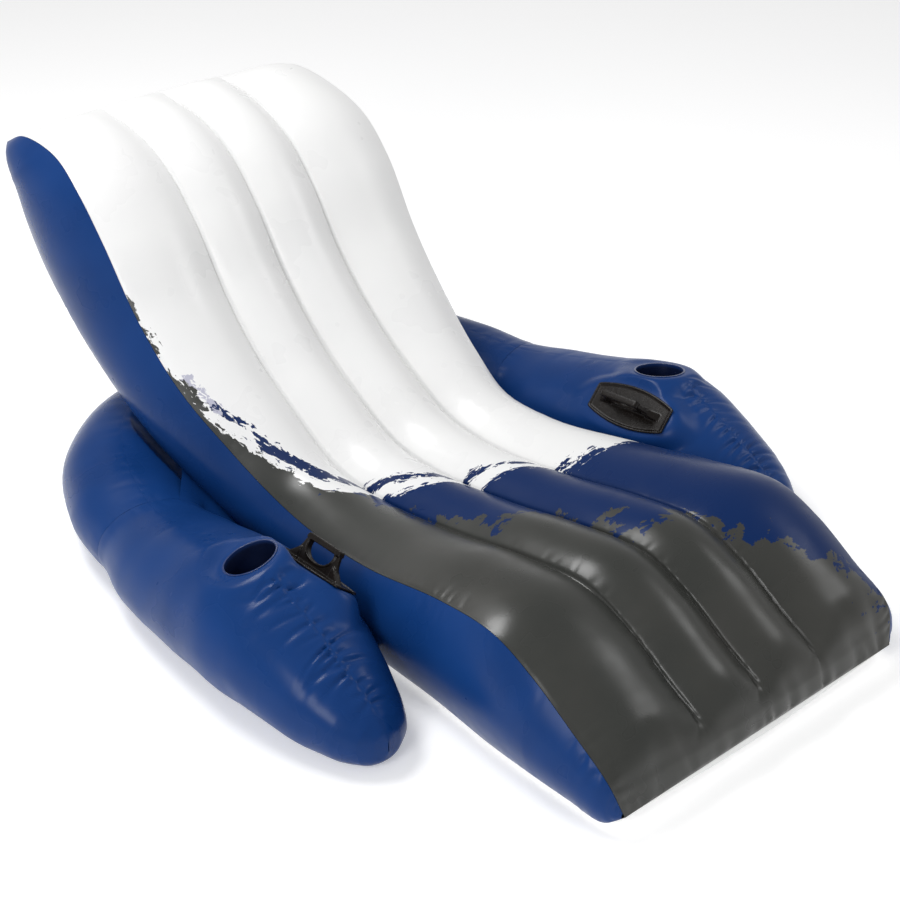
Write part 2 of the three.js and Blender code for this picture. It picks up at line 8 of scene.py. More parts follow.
import math
import bpy
import numpy as np
from mathutils import Matrix, Vector


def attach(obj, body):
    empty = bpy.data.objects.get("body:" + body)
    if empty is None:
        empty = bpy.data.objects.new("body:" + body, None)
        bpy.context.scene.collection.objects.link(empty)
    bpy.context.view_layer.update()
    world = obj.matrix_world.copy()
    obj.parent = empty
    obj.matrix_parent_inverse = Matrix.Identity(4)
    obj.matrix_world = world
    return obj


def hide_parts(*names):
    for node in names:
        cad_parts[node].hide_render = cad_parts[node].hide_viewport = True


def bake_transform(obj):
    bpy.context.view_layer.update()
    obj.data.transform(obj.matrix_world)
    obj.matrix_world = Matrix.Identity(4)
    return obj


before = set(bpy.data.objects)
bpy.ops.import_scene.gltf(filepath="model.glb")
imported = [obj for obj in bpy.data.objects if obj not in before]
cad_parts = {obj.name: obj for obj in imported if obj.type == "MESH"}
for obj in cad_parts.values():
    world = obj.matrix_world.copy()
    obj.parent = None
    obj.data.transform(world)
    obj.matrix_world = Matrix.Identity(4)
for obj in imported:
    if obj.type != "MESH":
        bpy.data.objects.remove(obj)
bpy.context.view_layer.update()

# ---------------------------------------------------------------- driving dimensions

VINYL = 0.0005  # gauge of every panel
SLIT = 0.0001  # slit between two pieces that are welded
MIDDLE = 0.014  # y of the middle of the whole length, in the frame of the ribs and sections

# Ribs of the lounge from the foot seam to the head seam: where the side panel meets the top sheet (y, z)
# and the under sheet (y, z), and the half-width of the lounge there.
RIBS = np.array((
    (-0.899, 0.0363, -0.899, 0.0353, 0.356),
    (-0.872, 0.104, -0.868, 0.016, 0.374),
    (-0.790, 0.158, -0.790, 0.013, 0.374),
    (-0.695, 0.216, -0.690, 0.013, 0.374),
    (-0.600, 0.250, -0.590, 0.013, 0.371),
    (-0.450, 0.236, -0.440, 0.013, 0.358),
    (-0.250, 0.198, -0.240, 0.013, 0.349),
    (-0.060, 0.174, -0.040, 0.016, 0.326),
    (0.080, 0.184, 0.130, 0.038, 0.314),
    (0.200, 0.244, 0.300, 0.104, 0.328),
    (0.330, 0.335, 0.455, 0.188, 0.350),
    (0.440, 0.450, 0.600, 0.290, 0.362),
    (0.530, 0.583, 0.720, 0.400, 0.368),
    (0.610, 0.665, 0.815, 0.508, 0.365),
    (0.715, 0.714, 0.882, 0.592, 0.350),
    (0.840, 0.723, 0.911, 0.650, 0.348),
    (0.914, 0.6905, 0.914, 0.6895, 0.347),
))
SEAM_GAP = 0.152  # distance between two neighbouring channel seams, which run straight
BEAM_ENDS = (2 / 28, 26 / 28)  # shares of the lounge's length between which the channel seams run
BEAM_FADE = 0.03  # share over which the channels run out
END_ROLL = 0.035  # share over which the channels round off at both ends
END_CROWN = 0.016  # how far the undivided ends stand out
TOP_RISE = 0.030  # how far a channel stands above its seams
SEAT_RISE = 0.012  # how much more it does in the bend of the seat, where the sheet is slack
UNDER_RISE = 0.030
BACK_RISE = 0.020
BEAM_INSET = 0.0045  # a beam stops so far short of both welds
SIDE_BULGE = 0.040  # how far a side panel bulges where it is at least so deep
SIDE_DEPTH = 0.190

# Sections of the base tube from the nose of the right arm to the middle of the rear: x, y, top, underside,
# reach to the outside, reach to the inside.
SECTIONS = np.array((
    (0.536, -0.518, 0.062, 0.040, 0.001, 0.001),
    (0.536, -0.512, 0.080, 0.020, 0.028, 0.032),
    (0.536, -0.495, 0.100, 0.004, 0.052, 0.060),
    (0.536, -0.455, 0.128, -0.008, 0.080, 0.086),
    (0.537, -0.395, 0.165, -0.012, 0.105, 0.112),
    (0.538, -0.315, 0.208, -0.012, 0.124, 0.136),
    (0.538, -0.235, 0.242, -0.012, 0.134, 0.143),
    (0.537, -0.145, 0.260, -0.012, 0.138, 0.152),
    (0.530, 0.000, 0.224, -0.012, 0.132, 0.158),
    (0.518, 0.130, 0.193, -0.008, 0.124, 0.152),
    (0.496, 0.245, 0.176, 0.004, 0.112, 0.124),
    (0.462, 0.360, 0.188, -0.004, 0.126, 0.124),
    (0.405, 0.475, 0.203, -0.008, 0.128, 0.124),
    (0.310, 0.568, 0.208, -0.008, 0.122, 0.122),
    (0.160, 0.617, 0.208, -0.008, 0.120, 0.120),
    (0.000, 0.630, 0.208, -0.008, 0.120, 0.120),
))
CORNER_SECTION = 10  # the arm ends and the rear tube begins at this section

CUP = {"radius": 0.050, "wall": 0.0008, "depth": 0.095, "along_arm": -0.145, "sink": 0.006}
CUP_NORMALS = {"right": (0.13, 0.15, 0.98), "left": (0.25, 0.25, 0.94)}  # outwards, rearwards, up
HANDLE = {"sink": 0.004, "dip": 0.1, "length": 0.200, "width": 0.092, "end_width": 0.056}
HANDLE_PLACES = {"right": (-0.165, 45), "left": (-0.200, 40)}  # along the arm, lean in degrees
SIDES = {"right": 1, "left": -1}

BASE_VALVE_ANGLE = 12.0  # on the middle of the rear tube, degrees above its widest part
LOUNGE_VALVE_SPOT = (2.5, 0.8)  # place across and share of the length
VALVE_HOLE = 0.0076
VALVE_FLAT = (0.022, 0.060)  # radii up to which a sheet is flat round a valve, and past which it is free
VALVE_CALM = (0.022, 0.045)  # the same for its creases


# ---------------------------------------------------------------- curves and surfaces

SAME = 3e-6  # root of the distance, in metres, below which two points of a curve are one
STILL = math.sqrt(0.001)  # root of the length that such a span is given


class Curve:
    """A centripetal Catmull-Rom curve through points, with t from 0 to 1."""

    def __init__(self, points):
        points = np.asarray(points, float)
        first = 2 * points[0] - points[1]
        last = 2 * points[-1] - points[-2]
        self.points = np.vstack([first, points, last])
        self.spans = len(points) - 1

    def at(self, t):
        t = np.clip(np.asarray(t, float), 0, 1) * self.spans
        i = np.minimum(t.astype(int), self.spans - 1)
        w = (t - i)[..., None]
        a, b, c, d = (self.points[i + k] for k in range(4))
        pairs = ((a, b), (b, c), (c, d))
        ab, bc, cd = (np.sqrt(np.linalg.norm(q - p, axis=-1, keepdims=True)) for p, q in pairs)
        bc = np.where(bc < SAME, STILL, bc)
        ab = np.where(ab < SAME, bc, ab)
        cd = np.where(cd < SAME, bc, cd)
        start = ((b - a) / ab - (c - a) / (ab + bc) + (c - b) / bc) * bc
        end = ((c - b) / bc - (d - b) / (bc + cd) + (d - c) / cd) * bc
        square = 3 * (c - b) - 2 * start - end
        cube = 2 * (b - c) + start + end
        return b + start * w + square * w**2 + cube * w**3

    def tangent(self, t):
        step = 1e-4
        way = self.at(t + step) - self.at(t - step)
        return way / np.linalg.norm(way, axis=-1, keepdims=True)


def smooth(x, low, high):
    t = np.clip((x - low) / (high - low), 0, 1)
    return t * t * (3 - 2 * t)


def lerp(a, b, t):
    return a + (b - a) * t


def unit(v):
    return v / np.linalg.norm(v, axis=-1, keepdims=True)


def span(a, b):
    """Distance between points as seen from the side."""
    return np.hypot(a[..., 1] - b[..., 1], a[..., 2] - b[..., 2])


top_weld = Curve(RIBS[:, [4, 0, 1]])
under_weld = Curve(RIBS[:, [4, 2, 3]])


def square_to(weld, s, turn):
    """A unit vector square to a weld line, in the plane x = 0: turn 1 is up on level ground."""
    tangent = weld.tangent(np.clip(s, 0.001, 0.999))
    return turn * unit(np.stack([0 * s, -tangent[..., 2], tangent[..., 1]], -1))


def lift(s, place, across, rise):
    """How far a sheet stands out of its weld line. Place counts channels, across runs from -1 to 1."""
    first, last = BEAM_ENDS
    beams = smooth(s, first - BEAM_FADE, first + BEAM_FADE) - smooth(s, last - BEAM_FADE, last + BEAM_FADE)
    roll = np.sqrt(np.clip(np.minimum(s, 1 - s) / END_ROLL, 0, 1))
    channel = 1 - (2 * (place % 1) - 1) ** 2
    return roll * (beams * rise * channel + (1 - beams) * END_CROWN * (1 - across**2))


def seam_x(place, half):
    """The x of a place across the lounge: the three seams are straight, the outer channels take the rest."""
    seam = place - 2
    inner = seam * SEAM_GAP
    outer = np.sign(seam) * (SEAM_GAP + (np.abs(seam) - 1) * (half - SEAM_GAP))
    return np.where(np.abs(seam) <= 1, inner, outer)


def spread(weld, place, s):
    """Points of a weld line moved to a place across the lounge, and how far across that is, from -1 to 1."""
    line = weld.at(s)
    x = seam_x(place, line[..., 0])
    return np.stack([x, line[..., 1], line[..., 2]], -1), x / line[..., 0]


def above_ground(points):
    points[..., 2] = np.maximum(points[..., 2], 0)
    return points


def top_sheet(place, s):
    point, across = spread(top_weld, place, s)
    rise = TOP_RISE + SEAT_RISE * smooth(s, 0.36, 0.5) * (1 - smooth(s, 0.62, 0.76))
    return point + square_to(top_weld, s, 1) * lift(s, place, across, rise)[..., None]


def under_sheet(place, s):
    point, across = spread(under_weld, place, s)
    rise = lerp(UNDER_RISE, BACK_RISE, smooth(s, 0.5, 0.6))
    return above_ground(point + square_to(under_weld, s, -1) * lift(s, place, across, rise)[..., None])


def side_panel(s, share):
    under = under_weld.at(s)
    top = top_weld.at(s)
    depth = span(top, under)
    inset = (VINYL + SLIT) / depth
    k = lerp(inset, 1 - inset, share)
    point = lerp(under, top, k[..., None])
    point[..., 0] += SIDE_BULGE * np.minimum(1, depth / SIDE_DEPTH) * (1 - (2 * k - 1) ** 2)
    return point


whole = np.vstack([SECTIONS, SECTIONS[-2::-1] * (-1, 1, 1, 1, 1, 1)])
tube_path = Curve(np.column_stack([whole[:, :2], 0 * whole[:, 0]]))
tube_heights = Curve(np.column_stack([whole[:, 2:4], 0 * whole[:, 0]]))
tube_reaches = Curve(np.column_stack([whole[:, 4:6], 0 * whole[:, 0]]))
CORNER = CORNER_SECTION / (len(whole) - 1)

LEAN_ROUND = 0.085  # the tube gives way round the lounge's back, taken as a box with corners of this radius
LEAN_ROOM = 0.010
BACK_SHARES = np.linspace(0.45, 0.9, 60)
BACK_POINTS = under_weld.at(BACK_SHARES)
BACK_NORMALS = square_to(under_weld, BACK_SHARES, -1)


def clear_of_lounge(point):
    nearest = span(point[..., None, :], BACK_POINTS).argmin(-1)
    at = BACK_POINTS[nearest]
    normal = BACK_NORMALS[nearest]
    below = ((point - at) * normal)[..., 1:].sum(-1)
    aside = np.abs(point[..., 0]) - (at[..., 0] + SIDE_BULGE - LEAN_ROUND)
    down = below - (BACK_RISE - LEAN_ROUND)
    past = np.hypot(np.maximum(aside, 0), np.maximum(down, 0))
    out = past + np.minimum(np.maximum(aside, down), 0) - LEAN_ROUND
    push = normal * np.maximum(down, 0)[..., None]
    push[..., 0] = np.sign(point[..., 0]) * np.maximum(aside, 0)
    size = np.maximum(np.linalg.norm(push, axis=-1, keepdims=True), 1e-9)
    return point + push / size * np.maximum(LEAN_ROOM - out, 0)[..., None]


def tube_point(along, angle, side):
    """A point on the base tube. Angle runs from -90 on the ground to 90 at the top seam, in degrees."""
    centre = tube_path.at(along)
    tangent = tube_path.tangent(np.clip(along, 0.002, 0.998))
    outward = unit(np.stack([tangent[..., 1], -tangent[..., 0], 0 * along], -1))
    heights = tube_heights.at(along)
    reaches = tube_reaches.at(along)
    turn = np.radians(angle)
    reach = SLIT / 2 + (reaches[..., 0] if side > 0 else reaches[..., 1]) * np.cos(turn)
    point = centre + outward * (side * reach)[..., None]
    point[..., 2] = lerp(heights[..., 1], heights[..., 0], (1 + np.sin(turn)) / 2)
    return above_ground(clear_of_lounge(point))


def tube_place(axis, value, low=0.0, high=CORNER):
    """The place along the tube, between low and high, where its path reaches a value on an axis."""
    for _ in range(40):
        middle = (low + high) / 2
        if tube_path.at(middle)[axis] < value:
            low = middle
        else:
            high = middle
    return low


def seat(centre, normal, along):
    z = unit(np.asarray(normal, float))
    y = unit(np.cross(z, along))
    x = np.cross(y, z)
    matrix = np.eye(4)
    matrix[:3, 0], matrix[:3, 1], matrix[:3, 2], matrix[:3, 3] = x, y, z, centre
    return matrix


def cup_seat(name):
    along = tube_place(1, CUP["along_arm"])
    centre = tube_path.at(along)
    centre[2] = tube_heights.at(along)[0] - CUP["sink"]
    return seat(centre, CUP_NORMALS[name], (0, 1, 0))


def handle_seat(name):
    along_arm, lean = HANDLE_PLACES[name]
    along = tube_place(1, along_arm)
    normal = np.array([-math.sin(math.radians(lean)), 0, math.cos(math.radians(lean))])
    top, base, _ = tube_heights.at(along)
    reach = tube_reaches.at(along)[1]
    angle = math.atan2(normal[2] * (top - base) / 2, -normal[0] * reach)
    centre = tube_path.at(along)
    centre[0] -= reach * math.cos(angle)
    centre[2] = base + (top - base) / 2 * (1 + math.sin(angle))
    return seat(centre - normal * HANDLE["sink"], normal, (0, 1, -HANDLE["dip"]))


def into(place, points):
    """Points of the frame of the ribs in the frame of a seat."""
    return (points - place[:3, 3]) @ place[:3, :3]


def out_of(place, local):
    return local @ place[:3, :3].T + place[:3, 3]


def pressed(point, place, inner, outer, stretch=1.0, raises=True):
    """Presses the near side of a panel onto the plane of a seat: wholly up to inner, less out to outer."""
    local = into(place, point)
    radius = np.hypot(local[..., 0] / stretch, local[..., 1])
    share = (1 - smooth(radius, inner, outer)) * (1 - smooth(np.abs(local[..., 2]), 0.030, 0.060))
    if not raises:
        share = share * (local[..., 2] > 0)
    local[..., 2] *= 1 - share
    return out_of(place, local)


# ---------------------------------------------------------------- puckers and slack

def arc_length(points, axis):
    steps = np.linalg.norm(np.diff(points, axis=axis), axis=-1)
    zero = np.zeros_like(np.take(steps, [0], axis=axis))
    return np.concatenate([zero, np.cumsum(steps, axis=axis)], axis=axis)


def surface_normals(points):
    return unit(np.cross(np.gradient(points, axis=1), np.gradient(points, axis=0)) + 1e-12)


def puckers(rng, along, away, *rows):
    """Creases that start at a weld and fade away from it: each a narrow valley between low shoulders. Along
    and away are metres from the weld's end and from the weld. A row says from where to where along the weld,
    and gives spacing, reach, width and depth."""
    out = np.zeros_like(along)
    for at, last, spacing, reach, width, depth in rows:
        while at < last:
            length = reach * rng.uniform(0.5, 1.4)
            wide = width * rng.uniform(0.7, 1.3)
            deep = depth * rng.uniform(0.35, 1.2)
            slant = rng.uniform(-0.25, 0.25)
            x = (along - at - slant * away) / (wide * (1 + 0.6 * away / length))
            near = np.exp(-((away / length) ** 1.7)) * smooth(away, 0, 0.007)
            out -= deep * near * (np.exp(-(x**2)) - 0.42 * np.exp(-((x / 2.3) ** 2)))
            at += spacing * rng.uniform(0.6, 1.45)
    return out


SLACK_WAVES = 7


def slack(rng, u, v, size, depth):
    """Low waves in a stretched film, with u and v in metres."""
    out = np.zeros_like(u)
    for _ in range(SLACK_WAVES):
        turn = rng.uniform(0, math.tau)
        wave = math.tau / (size * rng.uniform(0.6, 1.6))
        out += np.sin(wave * (u * math.cos(turn) + v * math.sin(turn)) + rng.uniform(0, math.tau))
    return out * depth / SLACK_WAVES


def groove(distance, width, depth):
    return -depth * np.exp(-((distance / width) ** 2))


# ---------------------------------------------------------------- meshes

def new_mesh(name, vertices, faces, sharp=None):
    """A smooth mesh, whose edges stay sharp past an angle in degrees."""
    mesh = bpy.data.meshes.new(name)
    mesh.from_pydata(vertices, [], faces)
    mesh.shade_smooth()
    if sharp:
        mesh.set_sharp_from_angle(angle=math.radians(sharp))
    return mesh


def joined(parts):
    """Vertices and faces of several parts as those of one."""
    vertices, faces = [], []
    for part_vertices, part_faces in parts:
        faces += [tuple(k + len(vertices) for k in face) for face in part_faces]
        vertices += part_vertices
    return vertices, faces


def new_object(name, mesh):
    piece = bpy.data.objects.new(name, mesh)
    bpy.context.scene.collection.objects.link(piece)
    return piece


def shell(name, points, keep=None, gauge=VINYL, values=None, flip=False):
    """A closed shell of film over a grid of points. Keep says which quads of the grid stay, and values are
    named numbers at its points for the material."""
    rows, columns = points.shape[:2]
    normals = surface_normals(points)
    if flip:
        normals = -normals
    count = rows * columns
    vertices = np.vstack([points.reshape(-1, 3), (points - normals * gauge).reshape(-1, 3)])
    index = np.arange(count).reshape(rows, columns)
    quads = np.stack([index[:-1, :-1], index[1:, :-1], index[1:, 1:], index[:-1, 1:]], -1)
    quads = quads.reshape(-1, 4) if keep is None else quads[keep]
    if not flip:
        quads = quads[:, ::-1]
    edges = np.concatenate([quads[:, [k, (k + 1) % 4]] for k in range(4)])
    key = np.sort(edges, 1)
    _, first, times = np.unique(key[:, 0] * count + key[:, 1], return_index=True, return_counts=True)
    rim = edges[first[times == 1]]
    walls = np.column_stack([rim[:, 1], rim[:, 0], rim[:, 0] + count, rim[:, 1] + count])
    faces = np.vstack([quads, quads[:, ::-1] + count, walls])
    used, compact = np.unique(faces, return_inverse=True)
    mesh = new_mesh(name, vertices[used].tolist(), compact.reshape(-1, 4).tolist(), 55)
    for label, value in (values or {}).items():
        layer = mesh.attributes.new(label, "FLOAT", "POINT")
        both = np.concatenate([value.ravel(), value.ravel()])[used]
        layer.data.foreach_set("value", both.astype(np.float32))
    return new_object(name, mesh)


def turned(profile, segments):
    """Vertices and faces of a body turned about z, from [radius, z] points that end on the axis or close."""
    profile = np.asarray(profile, float)
    on_axis = profile[:, 0] < 1e-9
    vertices, rings = [], []
    for (radius, z), axis in zip(profile, on_axis):
        turns = [0.0] if axis else [math.tau * k / segments for k in range(segments)]
        rings.append([len(vertices) + k for k in range(len(turns))])
        vertices += [(radius * math.cos(t), radius * math.sin(t), z) for t in turns]
    closed = not on_axis.any()
    pairs = list(zip(rings, rings[1:])) + ([(rings[-1], rings[0])] if closed else [])
    faces = []
    for low, high in pairs:
        for k in range(segments):
            after = k + 1
            ring = [low[k % len(low)], low[after % len(low)], high[after % len(high)], high[k % len(high)]]
            face = list(dict.fromkeys(ring))
            if len(face) > 2:
                faces.append(face)
    return vertices, faces


def lathe(name, profile, segments):
    return new_object(name, new_mesh(name, *turned(profile, segments), 40))


def evaluated(piece, name):
    """A new object with the piece's modifiers applied. The piece itself is removed."""
    graph = bpy.context.evaluated_depsgraph_get()
    mesh = bpy.data.meshes.new_from_object(piece.evaluated_get(graph))
    mesh.name = name
    bpy.data.objects.remove(piece)
    return new_object(name, mesh)


def rounded(profile, radius, steps=4):
    """The profile with its corners rounded. Radius is one number for all, or one for each corner."""
    profile = np.asarray(profile, float)
    radii = np.broadcast_to(radius, len(profile))
    out = []
    for i, (corner, size) in enumerate(zip(profile, radii)):
        before = profile[i - 1] - corner
        after = profile[(i + 1) % len(profile)] - corner
        size = min(size, np.linalg.norm(before) / 2.05, np.linalg.norm(after) / 2.05)
        if size <= 0:
            out.append(corner)
            continue
        a = corner + unit(before) * size
        b = corner + unit(after) * size
        for t in np.linspace(0, 1, steps + 1):
            out.append((1 - t) ** 2 * a + 2 * t * (1 - t) * corner + t * t * b)
    return np.array(out)


def place_by(piece, matrix, mirror=1):
    """Moves a piece from the frame of a seat into the shared frame, mirrored for the left arm."""
    whole_matrix = Matrix.Diagonal((mirror, 1, 1, 1)) @ Matrix(matrix.tolist())
    piece.data.transform(Matrix.Translation((0, -MIDDLE, 0)) @ whole_matrix)
    if mirror < 0:
        piece.data.flip_normals()
    return piece


def finish_piece(piece, slot, body, node):
    """Gives a piece its finish, body and material slot, and puts it in the place of a node of the CAD."""
    piece.data.materials.clear()
    piece.data.materials.append(FINISHES[slot])
    if body:
        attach(piece, body)
    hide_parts(node)


def panel(name, points, slot, node, **options):
    """A piece of film on the float itself, over points in the frame of the ribs."""
    finish_piece(shell(name, points - np.array([0, MIDDLE, 0]), **options), slot, "root", node)


# ---------------------------------------------------------------- materials

class Nodes:
    """A small helper to write a material's node tree."""

    def __init__(self, name):
        self.material = bpy.data.materials.new(name)
        self.material.use_nodes = True
        self.tree = self.material.node_tree
        self.shader = self.tree.nodes["Principled BSDF"]

    def add(self, kind, inputs=None, **settings):
        node = self.tree.nodes.new(kind)
        for key, value in settings.items():
            setattr(node, key, value)
        for key, value in (inputs or {}).items():
            self.feed(node, key, value)
        return node

    def feed(self, node, key, value):
        socket = node.inputs[key]
        if isinstance(value, bpy.types.NodeSocket):
            self.tree.links.new(value, socket)
        else:
            socket.default_value = value

    def set(self, **sockets):
        for key, value in sockets.items():
            self.feed(self.shader, key.replace("_", " "), value)

    def math(self, operation, a, b=0.0, c=0.0):
        return self.add("ShaderNodeMath", {0: a, 1: b, 2: c}, operation=operation).outputs[0]

    def attribute(self, name):
        return self.add("ShaderNodeAttribute", attribute_name=name).outputs["Fac"]

    def place(self):
        return self.add("ShaderNodeTexCoord").outputs["Object"]

    def noise(self, vector, scale, detail=3.0, roughness=0.55, distortion=0.0):
        inputs = {"Vector": vector, "Scale": scale, "Detail": detail, "Roughness": roughness}
        return self.add("ShaderNodeTexNoise", {**inputs, "Distortion": distortion}).outputs["Fac"]

    def ramp(self, value, low, high, out_low=0.0, out_high=1.0):
        inputs = {"Value": value, "From Min": low, "From Max": high, "To Min": out_low, "To Max": out_high}
        return self.add("ShaderNodeMapRange", inputs, interpolation_type="SMOOTHSTEP").outputs["Result"]

    def mix(self, factor, a, b):
        return self.add("ShaderNodeMix", {0: factor, 6: a, 7: b}, data_type="RGBA").outputs[2]

    def vector(self, x, y, z=0.0):
        return self.add("ShaderNodeCombineXYZ", {"X": x, "Y": y, "Z": z}).outputs[0]

    def bump(self, height, strength, distance, under=None):
        inputs = {"Height": height, "Strength": strength, "Distance": distance}
        if under is not None:
            inputs["Normal"] = under
        return self.add("ShaderNodeBump", inputs).outputs[0]


def film_surface(nodes, place, rough, vary=0.07):
    """Roughness and bump of calendered vinyl film: a fine peel, a faint ripple and hand marks."""
    smear = nodes.noise(place, 6.0, 1.0, 0.5)
    fine = nodes.noise(place, 40.0, 0.0)
    marks = nodes.math("MULTIPLY_ADD", fine, 0.25, smear)
    roughness = nodes.ramp(marks, 0.35, 0.9, rough - vary, rough + vary)
    ripple = nodes.bump(nodes.noise(place, 9.0, 0.0), 0.12, 0.004)
    peel = nodes.bump(nodes.noise(place, 300.0, 1.0), 0.05, 0.0005, ripple)
    nodes.set(Roughness=roughness, Normal=peel)


def mottled(nodes, tone, dark, light, high=0.7):
    """A colour that wanders between two others with the tone."""
    return nodes.mix(nodes.ramp(tone, 0.3, high), (*dark, 1), (*light, 1))


# Films of one colour: scale of the tone, darkest and lightest colour, roughness, and sockets of the shader.
FILMS = {
    "blue_vinyl": (3.0, (0.0042, 0.031, 0.135), (0.0062, 0.040, 0.168), 0.31,
                   {"IOR": 1.46, "Specular_IOR_Level": 0.16}),
    "white_vinyl": (4.0, (0.80, 0.80, 0.795), (0.86, 0.86, 0.86), 0.40,
                    {"IOR": 1.5, "Coat_Weight": 0.1, "Coat_Roughness": 0.25}),
    "inner_vinyl": (6.0, (0.66, 0.66, 0.63), (0.74, 0.74, 0.71), 0.5, {"IOR": 1.5}),
    # cup_vinyl is far darker than the arm's blue: painted shade inside the deep well
    "cup_vinyl": (18.0, (0.0024, 0.0058, 0.025), (0.0038, 0.0090, 0.037), 0.30,
                  {"IOR": 1.53, "Coat_Weight": 0.3, "Coat_Roughness": 0.15}),
}
# the arm's blue at the top of a well, where the painted shade of the well ends
CUP_UNSHADED_RIM_BLUE = (0.0070, 0.026, 0.115, 1)


def film(name, scale, dark, light, rough, sockets):
    nodes = Nodes(name)
    place = nodes.place()
    colour = mottled(nodes, nodes.noise(place, scale, 3.0, 0.6), dark, light)
    # painted shade: the well is dark, and only its rim, the top 4 mm, turns to the arm's blue
    if name == "cup_vinyl":  # the rim of a well is blue like the arm
        colour = nodes.mix(nodes.attribute("rim"), colour, CUP_UNSHADED_RIM_BLUE)
    film_surface(nodes, place, rough)
    nodes.set(Base_Color=colour, **sockets)
    return nodes.material


def handle_plastic():
    nodes = Nodes("handle_plastic")
    place = nodes.place()
    tone = nodes.noise(place, 30.0, 4.0, 0.6)
    colour = mottled(nodes, tone, (0.0060, 0.0043, 0.0035), (0.0095, 0.0068, 0.0056), 0.75)
    roughness = nodes.ramp(nodes.noise(place, 140.0, 3.0, 0.6, 0.4), 0.3, 0.75, 0.23, 0.29)
    grain = nodes.bump(nodes.noise(place, 700.0, 2.0), 0.03, 0.0003)
    nodes.set(Base_Color=colour, Roughness=roughness, Normal=grain, IOR=1.46, Specular_IOR_Level=0.24)
    return nodes.material


def clear_vinyl():
    nodes = Nodes("clear_vinyl")
    place = nodes.place()
    tone = nodes.noise(place, 90.0, 3.0, 0.6)
    colour = mottled(nodes, tone, (0.60, 0.66, 0.72), (0.74, 0.79, 0.84))
    grain = nodes.bump(nodes.noise(place, 900.0, 2.0), 0.1, 0.0003)
    nodes.set(Base_Color=colour, Roughness=nodes.ramp(tone, 0.2, 0.8, 0.22, 0.36), Normal=grain)
    nodes.set(IOR=1.5, Transmission_Weight=0.35, Subsurface_Weight=0.15)
    return nodes.material


PRINT_WHITE = (0.79, 0.79, 0.785)
PRINT_WHITE_LOW = (0.765, 0.765, 0.765)
PRINT_GREY = (0.031, 0.033, 0.030)
PRINT_GREY_LIGHT = (0.040, 0.040, 0.036)
PRINT_NAVY = (0.0040, 0.021, 0.095, 1)
PRINT_DARK = (0.005, 0.019, 0.085, 1)
PRINT_LAVENDER = (0.44, 0.44, 0.53, 1)
PRINT_EDGE = 0.0005  # half the distance over which one ink gives way to another
GLOSS_GREY, GLOSS_NAVY = 0.40, 0.14  # the grey ink shines more than the navy


def printed_vinyl():
    """White film with a torn brush print. The attributes are distances in metres: torn is how far a point
    lies into the white, run how far along that line, ink and haze how far inside the chain of navy flecks and
    the pale blot, and tide how far above the grey."""
    nodes = Nodes("printed_vinyl")
    place = nodes.place()
    across, along, torn, run, ink, haze, tide = (
        nodes.attribute(name) for name in ("across", "along", "torn", "run", "ink", "haze", "tide"))
    flat = nodes.vector(across, along)
    strokes = nodes.vector(run, nodes.math("MULTIPLY", torn, 2.6))  # drawn out along the torn line

    def shaken(value, coordinates, *layers):
        """A distance moved to and fro by layers of noise: size, scale, detail and offset of each."""
        for size, scale, detail, offset in layers:
            moved = nodes.add("ShaderNodeVectorMath", {0: coordinates, 1: (offset, offset, offset)})
            noise = nodes.noise(moved.outputs[0], scale, detail, 0.62, 0.6)
            value = nodes.math("MULTIPLY_ADD", nodes.math("SUBTRACT", noise, 0.5), size, value)
        return value

    def inside(distance, least=0.0):
        return nodes.ramp(distance, least - PRINT_EDGE, least + PRINT_EDGE)

    edge = shaken(torn, strokes, (0.075, 9.0, 3.0, 0.0), (0.050, 42.0, 6.0, 3.1))
    solid = nodes.ramp(edge, PRINT_EDGE, -PRINT_EDGE)
    blot = inside(shaken(ink, strokes, (0.050, 13.0, 2.0, 7.7), (0.078, 40.0, 7.0, 1.3)), 0.002)
    pale = inside(shaken(haze, strokes, (0.030, 20.0, 2.0, 4.2), (0.050, 48.0, 6.0, 8.9)), 0.001)
    # scratches of bare film in the first centimetres of the print, and short dashes just past it
    near = nodes.math("MULTIPLY", nodes.ramp(torn, -0.055, -0.005), nodes.ramp(torn, 0.045, 0.010))
    dashes = nodes.vector(run, nodes.math("MULTIPLY", torn, 5.0), 5.5)
    dash = nodes.noise(dashes, 26.0, 5.0, 0.6, 0.8)
    bare = nodes.ramp(nodes.math("MULTIPLY_ADD", near, 0.22, dash), 0.860, 0.872)

    level = shaken(tide, flat, (0.10, 6.0, 2.0, 0.0), (0.26, 13.0, 5.0, 5.5), (0.14, 34.0, 7.0, 2.2))
    navy_side = inside(level)

    tone = nodes.noise(place, 3.0, 4.0, 0.6)
    printed = nodes.mix(navy_side, mottled(nodes, tone, PRINT_GREY, PRINT_GREY_LIGHT), PRINT_NAVY)
    printed = nodes.mix(bare, printed, (*PRINT_WHITE, 1))
    white = mottled(nodes, tone, PRINT_WHITE_LOW, PRINT_WHITE)
    white = nodes.mix(pale, white, PRINT_LAVENDER)
    white = nodes.mix(blot, white, PRINT_DARK)
    colour = nodes.mix(solid, white, printed)
    gloss = nodes.math("MULTIPLY_ADD", navy_side, GLOSS_NAVY - GLOSS_GREY, GLOSS_GREY)
    film_surface(nodes, place, 0.32)
    nodes.set(Base_Color=colour, IOR=1.46, Specular_IOR_Level=gloss)
    return nodes.material


FINISHES = {name: film(name, *values) for name, values in FILMS.items()}
FINISHES["printed_vinyl"] = printed_vinyl()
FINISHES["handle_plastic"] = handle_plastic()
FINISHES["clear_vinyl"] = clear_vinyl()

# ---------------------------------------------------------------- the lounge

CROWDED = 0.72  # how much the columns of a sheet crowd towards the seams


